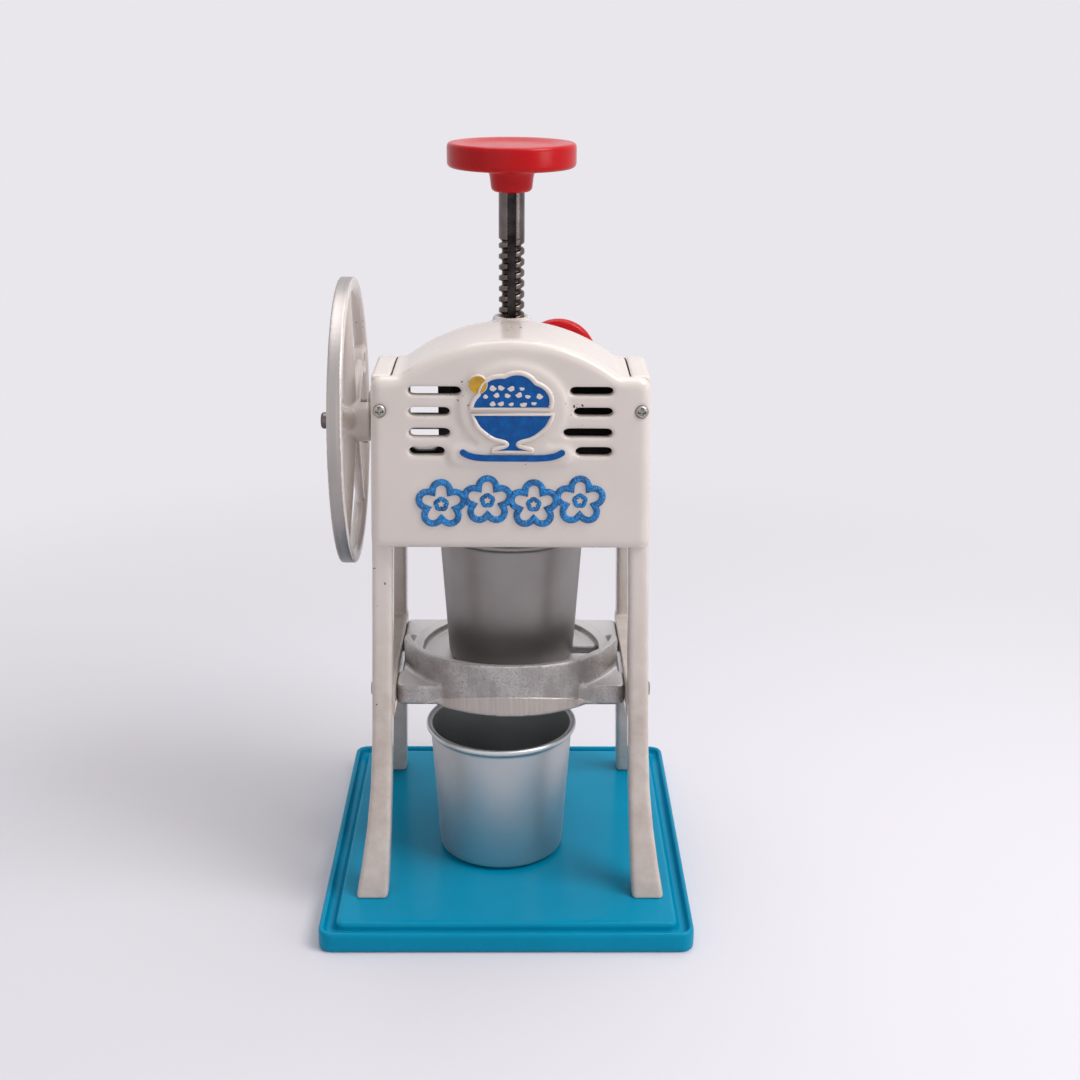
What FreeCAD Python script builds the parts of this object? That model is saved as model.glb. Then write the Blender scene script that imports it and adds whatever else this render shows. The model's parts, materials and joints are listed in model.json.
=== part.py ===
"""Hand cranked ice shaver with two cups on a moulded base tray.

Millimetres. +X is the user's right, +Y points away from the user, +Z is up.
The origin is on the underside of the tray, straight below the screw spindle.
"""
import FreeCAD
import Part
import math
import os

Vector = FreeCAD.Vector

# ---- fits ----
seam_gap = 0.3             # between castings that meet without touching
rest_gap = 0.25            # under loose pieces that only stand on something
running_fit = 0.08         # radial, shafts that turn or slide in a bore
tight_fit = 0.02           # radial, pins and screws in their own holes

# ---- base tray ----
tray_width = 176.0
tray_depth = 195.0
tray_height = 11.0
tray_shift_x = -1.5
tray_shift_y = -4.5
tray_corner_radius = 7.0
rim_wall = 2.6
rim_drop = 0.8             # the rim stays this much below the deck
deck_width = 161.0
deck_depth = 180.0
deck_corner_radius = 4.0
deck_edge_radius = 1.2
groove_depth = 5.0
tray_sheet = 2.4
room_corner_radius = 2.0
rib_width = 2.0
rib_pitch_x = 50.0
rib_pitch_y = 60.0
rest_boss_radius = 16.0

# ---- heights above the tray deck ----
table_underside = 88.3
housing_bottom = 172.2
housing_height = 79.8      # from the housing's lower edge to its level top
hood_rise = 17.0           # the arched hood stands this much above that
lower_bridge_rise = 4.8    # above the housing's lower edge
upper_bridge_rise = 20.9   # above the axle

# ---- housing and side frames ----
housing_depth = 114.0
frame_top_width = 124.0
side_taper = 0.0208        # growth of the half width for each mm downwards
frame_inner = 53.3
leg_thickness = 9.6
leg_depth = 13.0
leg_spread = 0.070         # growth of the half depth for each mm downwards
leg_corner_radius = 2.0
foot_flare_x = 6.8
foot_flare_y = 10.0
foot_extra = 5.8
flare_height = 75.0
flare_shares = (0.0, 0.19, 0.43, 0.69, 1.0)
leg_overlap = 2.0          # how far the legs run up into the wall
rail_height = 14.0
rail_drop = 2.0            # the rail's underside below the table's underside
rail_thickness = 9.5
roof_level_end = -16.0     # the roof is level from the front back to here
roof_slope = 0.236
roof_ease = 12.0           # length over which the slope sets in
wall_arch_rise = 7.0

# ---- covers ----
cover_thickness = 6.0
cover_edge_radius = 4.5
cover_corner_radius = 5.0
hood_radius = 78.0
hood_wall = 3.5
hood_blend = 7.0
hood_flange = 4.0
hood_flange_depth = 15.0
slot_height = 3.9
slot_drops = (5.8, 15.2, 24.8, 33.4)       # rows below the housing's level top
slot_left_outer = -45.4
slot_right_outer = 45.4
slot_left_inner = (-21.9, -26.8, -26.8, -29.2)
slot_right_inner = (25.9, 27.9, 23.2, 28.8)
medallion_proud = 1.5
medallion_x = 0.8
medallion_drop = 13.4      # its centre below the housing's level top
medallion_half_width = 24.0
medallion_half_height = 20.4
medallion_bar_left = -27.6
medallion_bar_right = 27.2
medallion_bar_drop = 30.6  # its upper edge below the housing's level top
medallion_bar_height = 8.6
medallion_bar_radius = 4.0
collar_radius = 8.6
collar_rise = 1.3
spindle_boss_radius = 12.0
spindle_boss_depth = 9.0
window_left = -52.0
window_right = -37.5
window_rise = 17.3         # above the housing's lower edge
window_height = 37.5
window_corner_radius = 4.0
knob_boss_radius = 9.0
knob_boss_rise = 2.0

# ---- bridges between the side frames ----
upper_bridge_thickness = 4.8
upper_bridge_half_depth = 9.5
upper_bridge_boss_radius = 17.0
lower_bridge_thickness = 8.0
lower_bridge_half_depth = 13.0
lower_bridge_boss_radius = 20.0
bridge_flange = 4.6        # thickness of the ends turned down against the side frames
bridge_flange_drop = 9.0
bridge_bolt_inset = 4.2    # from the bridge's edge to its bolts
lug_right = -28.5
lug_thickness = 6.0
lug_half_depth = 9.0

# ---- blade table ----
table_thickness = 10.0
table_half_depth = 43.0
disc_radius = 54.0
disc_drop = 1.2            # the disc reaches this much below the plate
rim_radius = 50.0
rim_rise = 2.8
floor_radius = 44.0
guard_wall = 4.0
guard_heights = ((-1.0, 15.0), (-0.55, 13.2), (0.0, 9.0), (0.4, 0.0), (0.7, -3.0), (1.0, -4.0))
end_notch_depth = 2.0      # open gaps between the plate's ends and the rails
end_notch_length = 46.0
end_notch_y = -2.0
knife_length = 38.0
knife_start = 5.0
knife_width = 17.0
knife_thickness = 2.2
knife_angle = 28.0
knife_slot_width = 7.0

# ---- gear train ----
gear_module = 1.75
gear_teeth = 24
pinion_teeth = 12
gear_face = 7.5
gear_back = 2.2            # behind the roots of the teeth
pinion_back = 1.2
gear_hub_length = 17.2
pressure_angle = 20.0
tooth_addendum = 0.85
tooth_dedendum = 1.05
tooth_share = 0.455        # tooth thickness as a share of the pitch
gear_hub_radius = 12.5
gear_journal_radius = 9.0
gear_journal_end = 1.0
bush_wall = 2.5
thrust_flange = 0.9
thrust_flange_radius = 14.5
pinion_hub_radius = 7.6
pinion_hub_length = 3.8
pinion_pin_radius = 1.0

# ---- axle and handwheel ----
axle_radius = 4.0
axle_end = -91.0
axle_bush_radius = 6.5
axle_boss_radius = 11.0
axle_boss_end = -65.6
collar_width = 3.5
collar_outer_radius = 8.0
wheel_radius = 68.0
wheel_rim_width = 6.6
wheel_rim_depth = 7.0
wheel_plane = -77.2
wheel_spokes = 5
wheel_hub_radius = 10.0
wheel_hub_inner = -66.9
wheel_hub_outer = -84.0
spoke_width_hub = 10.5
spoke_width_rim = 7.0
spoke_depth_hub = 7.0
spoke_depth_rim = 4.4
grip_boss_radius = 7.0
grip_boss_rise = 2.4
grip_hole_radius = 4.0
grip_circle = 56.0

# ---- screw spindle, feed nut and ice plate ----
spindle_radius = 6.0
spindle_travel = 50.0
keyway_width = 4.0
keyway_depth = 2.2
key_side_gap = 0.1
key_height = 4.4
spindle_bush_radius = 7.9
nut_radius = 15.0
nut_height = 10.0
nut_neck_radius = 9.0
nut_neck_rise = 4.0
retainer_radius = 13.0
retainer_height = 3.0
thread_gap = 0.1
plate_radius = 25.0
plate_thickness = 3.0
plate_hub_radius = 9.5
plate_hub_height = 8.0
plate_clearance = 2.5      # from the raised plate's hub to the gear's journal
plate_screw_reach = 9.0    # how far its screw goes up into the spindle
plate_overlap = 0.5        # of the hub and the spikes with the disc
spike_height = 6.0
spike_radius = 2.4
spike_tip_radius = 0.4
spike_ring_radius = 18.0
spike_count = 8

# ---- top handle ----
handle_radius = 29.5
handle_rim_height = 11.0
handle_rim_round = 2.2
handle_dish = 1.4          # hollow of the upper face
handle_under_rise = 0.9    # slope of the rim's underside towards the edge
handle_hub_base_radius = 9.3
handle_hub_top_radius = 10.2
handle_hub_height = 11.0
handle_socket_depth = 12.0
handle_reserve = 5.7       # left above the collar when the spindle is right down

# ---- brake ----
knob_radius = 19.4
knob_thickness = 8.0
knob_offset = 2.8          # from the rear cover's boss to the disc
knob_hub_radius = 7.5
knob_x = 23.7
brake_screw_radius = 2.5
band_thickness = 1.6
band_width = 6.4
band_drop = 0.4            # below the nut's upper face and the bridge
ear_length = 13.0
ear_thickness = 2.4
ear_gap = 3.2
ear_nut_depth = 4.0
ear_nut_half = 3.6
anchor_half_width = 4.0
anchor_thickness = 4.0
screw_clearance = 0.3      # radial, where the brake screw only passes through

# ---- cups ----
cup_rim_radius = 37.0
cup_base_radius = 31.0
cup_height = 68.5
cup_sheet = 1.2
cup_bead = 1.5
cup_corner_radius = 3.0
lower_cup_x = -4.8
lower_cup_y = -16.5

# ---- fasteners ----
screw_radius = 1.5
screw_head_radius = 2.9
screw_head_height = 1.9
screw_length = 13.0
cover_screw_x = 58.0
cover_screw_drop = 14.9    # below the housing's level top
rear_screw_drop = 28.0
side_screw_drop = 12.6
side_screw_y = -41.0        # behind the tip of the front screw
bolt_radius = 2.5
bolt_head_radius = 4.6
bolt_head_height = 2.8
bolt_length = 18.0
bridge_bolt_grip = 4.4     # how far the upper bolts reach into the bridge
pin_radius = 1.5
weep_notch_rise = 33.3     # above the housing's lower edge
weep_notch_height = 13.5
weep_notch_depth = 2.6

nodes = {}


# ---- values worked out from the sizes ----
def up(height):
    """Height above the tray deck, turned to height above the table."""
    return tray_height + height


half_depth = housing_depth / 2
cover_back = half_depth - cover_thickness
pinion_pitch_radius = gear_module * pinion_teeth / 2
gear_pitch_radius = gear_module * gear_teeth / 2
cone_length = math.hypot(pinion_pitch_radius, gear_pitch_radius)
pinion_cone = math.atan2(pinion_pitch_radius, gear_pitch_radius)
gear_cone = math.pi / 2 - pinion_cone


def root_point(cone, length, teeth):
    """Radius and height of a gear's root circle on its back cone, from the apex."""
    scale = length / cone_length
    virtual = gear_module * teeth / 2 / math.cos(cone)
    low = virtual - tooth_dedendum * gear_module
    real = low * math.cos(cone) * scale
    height = length * math.cos(cone) + (virtual - low) * math.sin(cone) * scale
    return real, height


# heights above the tray deck, from the table up to the handle
pad_height = housing_bottom + housing_height
hood_height = pad_height + hood_rise
lower_bridge_height = housing_bottom + lower_bridge_rise
gear_seat_height = lower_bridge_height + lower_bridge_thickness + thrust_flange + rest_gap
gear_depth = root_point(gear_cone, cone_length, gear_teeth)[1] + gear_back
axle_height = gear_seat_height + gear_hub_length + gear_depth
upper_bridge_height = axle_height + upper_bridge_rise
knob_height = upper_bridge_height - band_drop - band_width / 2
spindle_bottom = lower_bridge_height - gear_journal_end - plate_clearance - plate_hub_height
handle_base_height = hood_height + collar_rise + spindle_travel + handle_reserve
cover_screw_height = pad_height - cover_screw_drop
rear_screw_height = pad_height - rear_screw_drop
side_screw_height = pad_height - side_screw_drop

axle_z = up(axle_height)
table_top = up(table_underside + table_thickness)
apex_z = up(hood_height)
upper_bridge_z = up(upper_bridge_height)
lower_bridge_z = up(lower_bridge_height)
nut_top = upper_bridge_z - rest_gap
nut_bottom = nut_top - nut_height


def frame_outer(height):
    """Half width of the outside of a side frame above its flared feet."""
    return frame_top_width / 2 + side_taper * (pad_height - height)


def head_seat(z, head_radius):
    """X of the left frame's face under the lower edge of a screw head."""
    return -frame_outer(z - tray_height - head_radius)


def roof_drop(y):
    """How far the roof has fallen at a distance y behind the spindle."""
    past = y - roof_level_end
    if past <= 0:
        return 0.0
    if past < roof_ease:
        return roof_slope * past ** 2 / (2 * roof_ease)
    return roof_slope * (past - roof_ease / 2)


# ---- small solids ----
def block(x0, x1, y0, y1, z0, z1):
    return Part.makeBox(x1 - x0, y1 - y0, z1 - z0, Vector(x0, y0, z0))


def rod(radius, start, end):
    start = Vector(*start)
    end = Vector(*end)
    return Part.makeCylinder(radius, (end - start).Length, start, end - start)


def tube(outer, inner, start, end):
    return rod(outer, start, end).cut(rod(inner, start, end))


def rounded_rectangle(width, depth, radius, x, y, z):
    """Closed wire, level, centred on x and y."""
    a = width / 2
    b = depth / 2
    c = radius * (1 - math.sqrt(0.5))
    corners = []
    for sx, sy in ((1, 1), (-1, 1), (-1, -1), (1, -1)):
        side_end = (x + sx * a, y + sy * (b - radius))
        middle = (x + sx * (a - c), y + sy * (b - c))
        top_end = (x + sx * (a - radius), y + sy * b)
        points = [side_end, middle, top_end] if sx == sy else [top_end, middle, side_end]
        corners.append([Vector(px, py, z) for px, py in points])
    edges = []
    for index, (first, middle, last) in enumerate(corners):
        edges.append(Part.Arc(first, middle, last).toShape())
        following = corners[(index + 1) % 4][0]
        edges.append(Part.makeLine(last, following))
    return Part.Wire(edges)


def slab(width, depth, radius, x, y, z0, z1):
    face = Part.Face(rounded_rectangle(width, depth, radius, x, y, z0))
    return face.extrude(Vector(0, 0, z1 - z0))


def revolved(points, center, axis):
    """Solid of revolution of (radius, along) points about an axis through center."""
    profile = [Vector(r, 0, along) for r, along in points]
    face = Part.Face(Part.makePolygon(profile + profile[:1]))
    solid = face.revolve(Vector(0, 0, 0), Vector(0, 0, 1), 360)
    solid.Placement = FreeCAD.Placement(Vector(*center), FreeCAD.Rotation(Vector(0, 0, 1), Vector(*axis)))
    return solid


def screw(head, direction, radius, head_radius, head_height, length):
    """Round-headed screw: head is the point where its head seats."""
    crown = head_radius * 0.62
    points = [(0, head_height), (crown, head_height), (head_radius, head_height * 0.45), (head_radius, 0)]
    points += [(radius, 0), (radius, -length), (0, -length)]
    return revolved(points, head, [-c for c in direction])


def cover_screw(head, direction):
    return screw(head, direction, screw_radius, screw_head_radius, screw_head_height, screw_length)


def bolt(head, direction, length=bolt_length):
    return screw(head, direction, bolt_radius, bolt_head_radius, bolt_head_height, length)


def mirrored(shape):
    return shape.mirror(Vector(0, 0, 0), Vector(1, 0, 0))


def joined(shapes):
    result = shapes[0].multiFuse(shapes[1:])
    return result.removeSplitter()


def without(shape, tools):
    return shape.cut(Part.makeCompound(tools))


def filleted(shape, radius, wanted):
    edges = [edge for edge in shape.Edges if wanted(edge)]
    return shape.makeFillet(radius, edges)


# ---- base tray ----
def base_tray():
    x = tray_shift_x
    y = tray_shift_y
    rim_top = tray_height - rim_drop
    groove_floor = tray_height - groove_depth
    inner_width = tray_width - 2 * rim_wall
    inner_depth = tray_depth - 2 * rim_wall
    inner_radius = tray_corner_radius - rim_wall
    rim = slab(tray_width, tray_depth, tray_corner_radius, x, y, 0, rim_top)
    rim = rim.cut(slab(inner_width, inner_depth, inner_radius, x, y, 0, rim_top))
    floor = slab(inner_width, inner_depth, inner_radius, x, y, groove_floor - tray_sheet, groove_floor)
    deck = slab(deck_width, deck_depth, deck_corner_radius, x, y, groove_floor - tray_sheet, tray_height)
    deck = filleted(deck, deck_edge_radius, lambda e: e.BoundBox.ZMin > tray_height - 0.01)
    room_width = deck_width - 2 * tray_sheet
    room_depth = deck_depth - 2 * tray_sheet
    room = slab(room_width, room_depth, room_corner_radius, x, y, 0, tray_height - tray_sheet)
    body = joined([rim, floor, deck]).cut(room)
    half_rib = rib_width / 2
    ribs = []
    for place in (-1, 0, 1):
        rib_x = place * rib_pitch_x
        rib_y = place * rib_pitch_y
        ribs.append(block(rib_x - half_rib, rib_x + half_rib, y - room_depth / 2, y + room_depth / 2,
                          0, tray_height - tray_sheet))
        ribs.append(block(x - room_width / 2, x + room_width / 2, rib_y - half_rib, rib_y + half_rib,
                          0, tray_height - tray_sheet))
    boss = rod(rest_boss_radius, (0, 0, 0), (0, 0, tray_height - tray_sheet))
    return joined([body, boss] + ribs)


# ---- side frames ----
def leg_section(height, front):
    """Wire of one leg's section on the left side; front is -1 for the front leg."""
    flare = max(0.0, 1 - height / flare_height) ** 2
    outer = frame_outer(height) + foot_flare_x * flare
    thickness = leg_thickness + foot_extra * flare
    reach = cover_back + leg_spread * (housing_bottom - height) + foot_flare_y * flare
    center_x = -(outer - thickness / 2)
    center_y = front * (reach - leg_depth / 2)
    return rounded_rectangle(thickness, leg_depth, leg_corner_radius, center_x, center_y, up(height))


def leg(front):
    heights = [flare_height * share for share in flare_shares]
    heights += [(flare_height + housing_bottom) / 2, housing_bottom + leg_overlap]
    sections = [leg_section(height, front) for height in heights]
    return Part.makeLoft(sections, True, True)


def side_wall_face():
    """Outline of the wall above the legs, seen from the side."""
    y = cover_back
    top = up(pad_height)
    bottom = up(housing_bottom)
    steps = 8
    edge = [Vector(0, -y, bottom), Vector(0, -y, top), Vector(0, roof_level_end, top)]
    roof_run = y - roof_level_end
    for step in range(1, steps + 1):
        at_y = roof_level_end + roof_run * step / steps
        edge.append(Vector(0, at_y, top - roof_drop(at_y)))
    edge.append(Vector(0, y, bottom))
    inner = y - leg_depth
    lines = Part.makePolygon(edge).Edges
    lines.append(Part.makeLine(edge[-1], Vector(0, inner, bottom)))
    crown = Vector(0, 0, bottom + wall_arch_rise)
    lines.append(Part.Arc(Vector(0, inner, bottom), crown, Vector(0, -inner, bottom)).toShape())
    lines.append(Part.makeLine(Vector(0, -inner, bottom), edge[0]))
    return Part.Face(Part.Wire(Part.__sortEdges__(lines)))


def side_wall():
    face = side_wall_face()
    face.translate(Vector(-frame_outer(0), 0, 0))
    wall = face.extrude(Vector(frame_outer(0) - frame_inner, 0, 0))
    low = frame_outer(housing_bottom)
    high = frame_outer(pad_height)
    bottom = up(housing_bottom)
    top = up(pad_height)
    corners = [Vector(-low, -half_depth, bottom), Vector(-high, -half_depth, top)]
    corners += [Vector(-frame_inner, -half_depth, top), Vector(-frame_inner, -half_depth, bottom)]
    taper = Part.Face(Part.makePolygon(corners + corners[:1])).extrude(Vector(0, housing_depth, 0))
    return wall.common(taper)


def side_frame():
    """A side casting as on the left, without the axle boss: two legs, the wall and the low rail."""
    rail_bottom = up(table_underside - rail_drop)
    rail_outer = frame_outer(table_underside) - 0.8
    rail_inner = frame_inner + 1.5
    rail_reach = cover_back - leg_depth / 2 + leg_spread * (housing_bottom - table_underside)
    rail = block(-rail_outer, -rail_inner, -rail_reach, rail_reach, rail_bottom, rail_bottom + rail_height)
    frame = joined([side_wall(), leg(-1), leg(1), rail])
    tools = []
    for end in (-1, 1):
        height = cover_screw_height if end < 0 else rear_screw_height
        seat = (-cover_screw_x, end * cover_back, up(height))
        tip = (-cover_screw_x, end * (cover_back - screw_length), up(height))
        tools.append(rod(screw_radius + tight_fit, seat, tip))
    for x, y, z in bridge_bolt_places():
        tools.append(rod(bolt_radius + tight_fit, (-frame_outer(0), y, z), (-frame_inner, y, z)))
    for y, z in table_bolt_places():
        tools.append(rod(bolt_radius + tight_fit, (-frame_outer(0), y, z), (-frame_inner, y, z)))
    notch_z = up(housing_bottom + weep_notch_rise)
    tools.append(block(-frame_outer(0), -frame_inner, -cover_back, -cover_back + weep_notch_depth,
                       notch_z, notch_z + weep_notch_height))
    return without(frame, tools)


def upper_bolt_z():
    return upper_bridge_z + (upper_bridge_thickness - bridge_flange_drop) / 2


def lower_bolt_z():
    return lower_bridge_z + lower_bridge_thickness / 2


def bridge_bolt_places():
    """Left-hand bolts of both bridges as (head x, y, z)."""
    places = []
    for z, reach in ((upper_bolt_z(), upper_bridge_half_depth), (lower_bolt_z(), lower_bridge_half_depth)):
        for side in (-1, 1):
            places.append((head_seat(z, bolt_head_radius), side * (reach - bridge_bolt_inset), z))
    return places


def table_bolt_places():
    z = up(table_underside + table_thickness / 2)
    return [(side * (table_half_depth - 9.0), z) for side in (-1, 1)]


def left_side_frame():
    wall_x = -frame_outer(axle_height) + 1.0
    boss = rod(axle_boss_radius, (axle_boss_end, 0, axle_z), (wall_x, 0, axle_z))
    frame = joined([side_frame(), boss])
    bore = rod(axle_bush_radius, (axle_boss_end - 1, 0, axle_z), (-frame_inner + 1, 0, axle_z))
    side_z = up(side_screw_height)
    screw_hole = rod(screw_radius + tight_fit, (-frame_outer(0), side_screw_y, side_z),
                     (-frame_inner + 1, side_screw_y, side_z))
    return without(frame, [bore, screw_hole])


# ---- covers ----
def roof_outline(y, drop, offset):
    """Points and arcs of the arched roof line from left to right, offset inwards."""
    radius = hood_radius - offset
    center_z = apex_z - hood_radius - drop
    pad_z = up(pad_height) - drop - offset
    blend = hood_blend + offset
    edge_x = frame_inner - seam_gap
    # the blend is tangent to the pad line and to the main arc
    blend_z = pad_z + blend
    reach = math.sqrt((radius + blend) ** 2 - (blend_z - center_z) ** 2)
    tangent_x = reach * radius / (radius + blend)
    tangent_z = center_z + (blend_z - center_z) * radius / (radius + blend)
    angle = math.atan2(tangent_z - blend_z, tangent_x - reach)
    middle_angle = (angle + 2 * math.pi - math.pi / 2) / 2 if angle > 0 else (angle - math.pi / 2) / 2
    middle_x = reach + blend * math.cos(middle_angle)
    middle_z = blend_z + blend * math.sin(middle_angle)
    left = Vector(-edge_x, y, pad_z)
    left_flat = Vector(-reach, y, pad_z)
    left_middle = Vector(-middle_x, y, middle_z)
    left_tangent = Vector(-tangent_x, y, tangent_z)
    apex = Vector(0, y, center_z + radius)
    right_tangent = Vector(tangent_x, y, tangent_z)
    right_middle = Vector(middle_x, y, middle_z)
    right_flat = Vector(reach, y, pad_z)
    right = Vector(edge_x, y, pad_z)
    edges = [Part.makeLine(left, left_flat)]
    edges.append(Part.Arc(left_flat, left_middle, left_tangent).toShape())
    edges.append(Part.Arc(left_tangent, apex, right_tangent).toShape())
    edges.append(Part.Arc(right_tangent, right_middle, right_flat).toShape())
    edges.append(Part.makeLine(right_flat, right))
    return edges, left, right


def cover_outline(y, drop):
    """Closed outline of a cover plate: tapered sides and the arched top."""
    roof, left, right = roof_outline(y, drop, 0.0)
    top = up(pad_height) - drop
    bottom = up(housing_bottom)
    low = frame_outer(housing_bottom)
    high = frame_outer(pad_height - drop)
    radius = cover_corner_radius
    bend = radius * (1 - math.sqrt(0.5))
    edges = list(roof)
    for side, end in ((1, right), (-1, left)):
        top_flat = Vector(side * (high - radius), y, top)
        top_bend = Vector(side * (high - bend), y, top - bend)
        side_top = Vector(side * frame_outer(pad_height - drop - radius), y, top - radius)
        side_bottom = Vector(side * frame_outer(housing_bottom + radius), y, bottom + radius)
        low_bend = Vector(side * (low - bend), y, bottom + bend)
        low_flat = Vector(side * (low - radius), y, bottom)
        edges.append(Part.makeLine(end, top_flat))
        edges.append(Part.Arc(top_flat, top_bend, side_top).toShape())
        edges.append(Part.makeLine(side_top, side_bottom))
        edges.append(Part.Arc(side_bottom, low_bend, low_flat).toShape())
    edges.append(Part.makeLine(Vector(low - radius, y, bottom), Vector(radius - low, y, bottom)))
    return Part.Wire(Part.__sortEdges__(edges))


def cover_plate(front):
    """Plate with its outer face rounded over; front is -1 for the front cover."""
    y_face = front * half_depth
    drop = 0.0 if front < 0 else roof_drop(half_depth)
    plate = Part.Face(cover_outline(y_face, drop)).extrude(Vector(0, -front * cover_thickness, 0))
    return filleted(plate, cover_edge_radius,
                    lambda e: abs(e.BoundBox.YMin - y_face) < 0.01 and abs(e.BoundBox.YMax - y_face) < 0.01)


def roof_section(y):
    drop = roof_drop(y)
    outer, left, right = roof_outline(y, drop, 0.0)
    inner, inner_left, inner_right = roof_outline(y, drop, hood_wall)
    edges = outer + inner
    edges.append(Part.makeLine(left, inner_left))
    edges.append(Part.makeLine(right, inner_right))
    return Part.Wire(Part.__sortEdges__(edges))


def hood():
    """Arched roof, level in front and falling towards the rear cover."""
    front = -cover_back - 1.0
    rear = cover_back - seam_gap
    level = Part.Face(roof_section(front)).extrude(Vector(0, roof_level_end - front, 0))
    bend_end = roof_level_end + roof_ease
    bend = Part.makeLoft([roof_section(roof_level_end), roof_section(bend_end)], True, True)
    slope = Part.makeLoft([roof_section(bend_end), roof_section(rear)], True, True)
    shapes = [level, bend, slope]
    flange_top = up(pad_height) - hood_wall / 2
    flange_x = frame_inner - seam_gap
    for side in (-1, 1):
        x0, x1 = sorted((side * flange_x, side * (flange_x - hood_flange)))
        shapes.append(block(x0, x1, front, roof_level_end - hood_flange,
                            flange_top - hood_flange_depth, flange_top))
    return shapes


def slot_cut(x0, x1, height):
    """Round-ended slot through the front plate."""
    r = slot_height / 2
    y0 = -half_depth - 1.0
    y1 = -cover_back + 1.0
    z = up(height)
    left, right = sorted((x0, x1))
    middle = block(left + r, right - r, y0, y1, z - r, z + r)
    ends = [rod(r, (x, y0, z), (x, y1, z)) for x in (left + r, right - r)]
    return joined([middle] + ends)


def medallion():
    """Raised field for the emblem: an oval over a round-ended bar."""
    y = -half_depth
    depth = medallion_proud + 1.0
    oval = Part.Ellipse(Vector(0, 0, 0), medallion_half_width, medallion_half_height).toShape()
    oval = Part.Face(Part.Wire(oval))
    oval.rotate(Vector(0, 0, 0), Vector(1, 0, 0), 90)
    oval.translate(Vector(medallion_x, y + 1.0, up(pad_height - medallion_drop)))
    field = oval.extrude(Vector(0, -depth, 0))
    bar_top = up(pad_height - medallion_bar_drop)
    bar = block(medallion_bar_left, medallion_bar_right, y - medallion_proud, y + 1.0,
                bar_top - medallion_bar_height, bar_top)
    bar = filleted(bar, medallion_bar_radius, lambda e: abs(e.BoundBox.YLength - depth) < 0.01)
    return joined([field, bar])


def front_cover():
    plate = cover_plate(-1)
    boss_bottom = apex_z - hood_wall - spindle_boss_depth
    boss = rod(spindle_boss_radius, (0, 0, boss_bottom), (0, 0, apex_z - roof_drop(0) - 1.5))
    collar = rod(collar_radius, (0, 0, boss_bottom), (0, 0, apex_z + collar_rise))
    shell = joined([plate, boss, collar] + hood())
    shell = joined([shell, medallion()])
    tools = []
    for drop, left_inner, right_inner in zip(slot_drops, slot_left_inner, slot_right_inner):
        tools.append(slot_cut(slot_left_outer, left_inner, pad_height - drop))
        tools.append(slot_cut(right_inner, slot_right_outer, pad_height - drop))
    tools.append(rod(spindle_bush_radius, (0, 0, boss_bottom - 1), (0, 0, apex_z + collar_rise + 1)))
    screw_z = up(cover_screw_height)
    for side in (-1, 1):
        x = side * cover_screw_x
        tools.append(rod(screw_radius + running_fit, (x, -half_depth - 1, screw_z),
                         (x, -cover_back + 1, screw_z)))
        tools.append(rod(screw_head_radius + 0.5, (x, -half_depth - 1, screw_z),
                         (x, -half_depth + 0.8, screw_z)))
    side_z = up(side_screw_height)
    tools.append(rod(screw_radius + tight_fit, (-frame_inner, side_screw_y, side_z),
                     (-frame_inner + 1.5 * hood_flange, side_screw_y, side_z)))
    return without(shell, tools)


def rear_cover():
    plate = cover_plate(1)
    knob_z = up(knob_height)
    boss = rod(knob_boss_radius, (knob_x, half_depth - 1, knob_z),
               (knob_x, half_depth + knob_boss_rise, knob_z))
    shell = joined([plate, boss])
    window = slab(window_right - window_left, window_height, window_corner_radius,
                  (window_left + window_right) / 2, up(housing_bottom + window_rise + window_height / 2),
                  0, 4 * cover_thickness)
    window.rotate(Vector(0, 0, 0), Vector(1, 0, 0), 90)
    window.translate(Vector(0, half_depth + 2 * cover_thickness, 0))
    tools = [window]
    tools.append(rod(brake_screw_radius + screw_clearance, (knob_x, cover_back - 1, knob_z),
                     (knob_x, half_depth + knob_boss_rise + 1, knob_z)))
    z = up(rear_screw_height)
    for side in (-1, 1):
        x = side * cover_screw_x
        tools.append(rod(screw_radius + running_fit, (x, cover_back - 1, z), (x, half_depth + 1, z)))
    return without(shell, tools)


# ---- bridges and bushes ----
def cross_bar(bar_z, thickness, reach, boss_radius):
    bar = block(-frame_inner, frame_inner, -reach, reach, bar_z, bar_z + thickness)
    bar = filleted(bar, 2.0, lambda e: abs(e.BoundBox.XLength - 2 * frame_inner) < 0.01)
    boss = rod(boss_radius, (0, 0, bar_z), (0, 0, bar_z + thickness))
    return joined([bar, boss])


def bridge_taps(reach, z):
    """Holes for the bolts that come through both side frames."""
    taps = []
    for end in (-1, 1):
        y = end * (reach - bridge_bolt_inset)
        start = frame_inner + 1
        tip = -head_seat(z, bolt_head_radius) - bolt_length - 1
        for side in (-1, 1):
            taps.append(rod(bolt_radius + tight_fit, (side * start, y, z), (side * tip, y, z)))
    return taps


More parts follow.
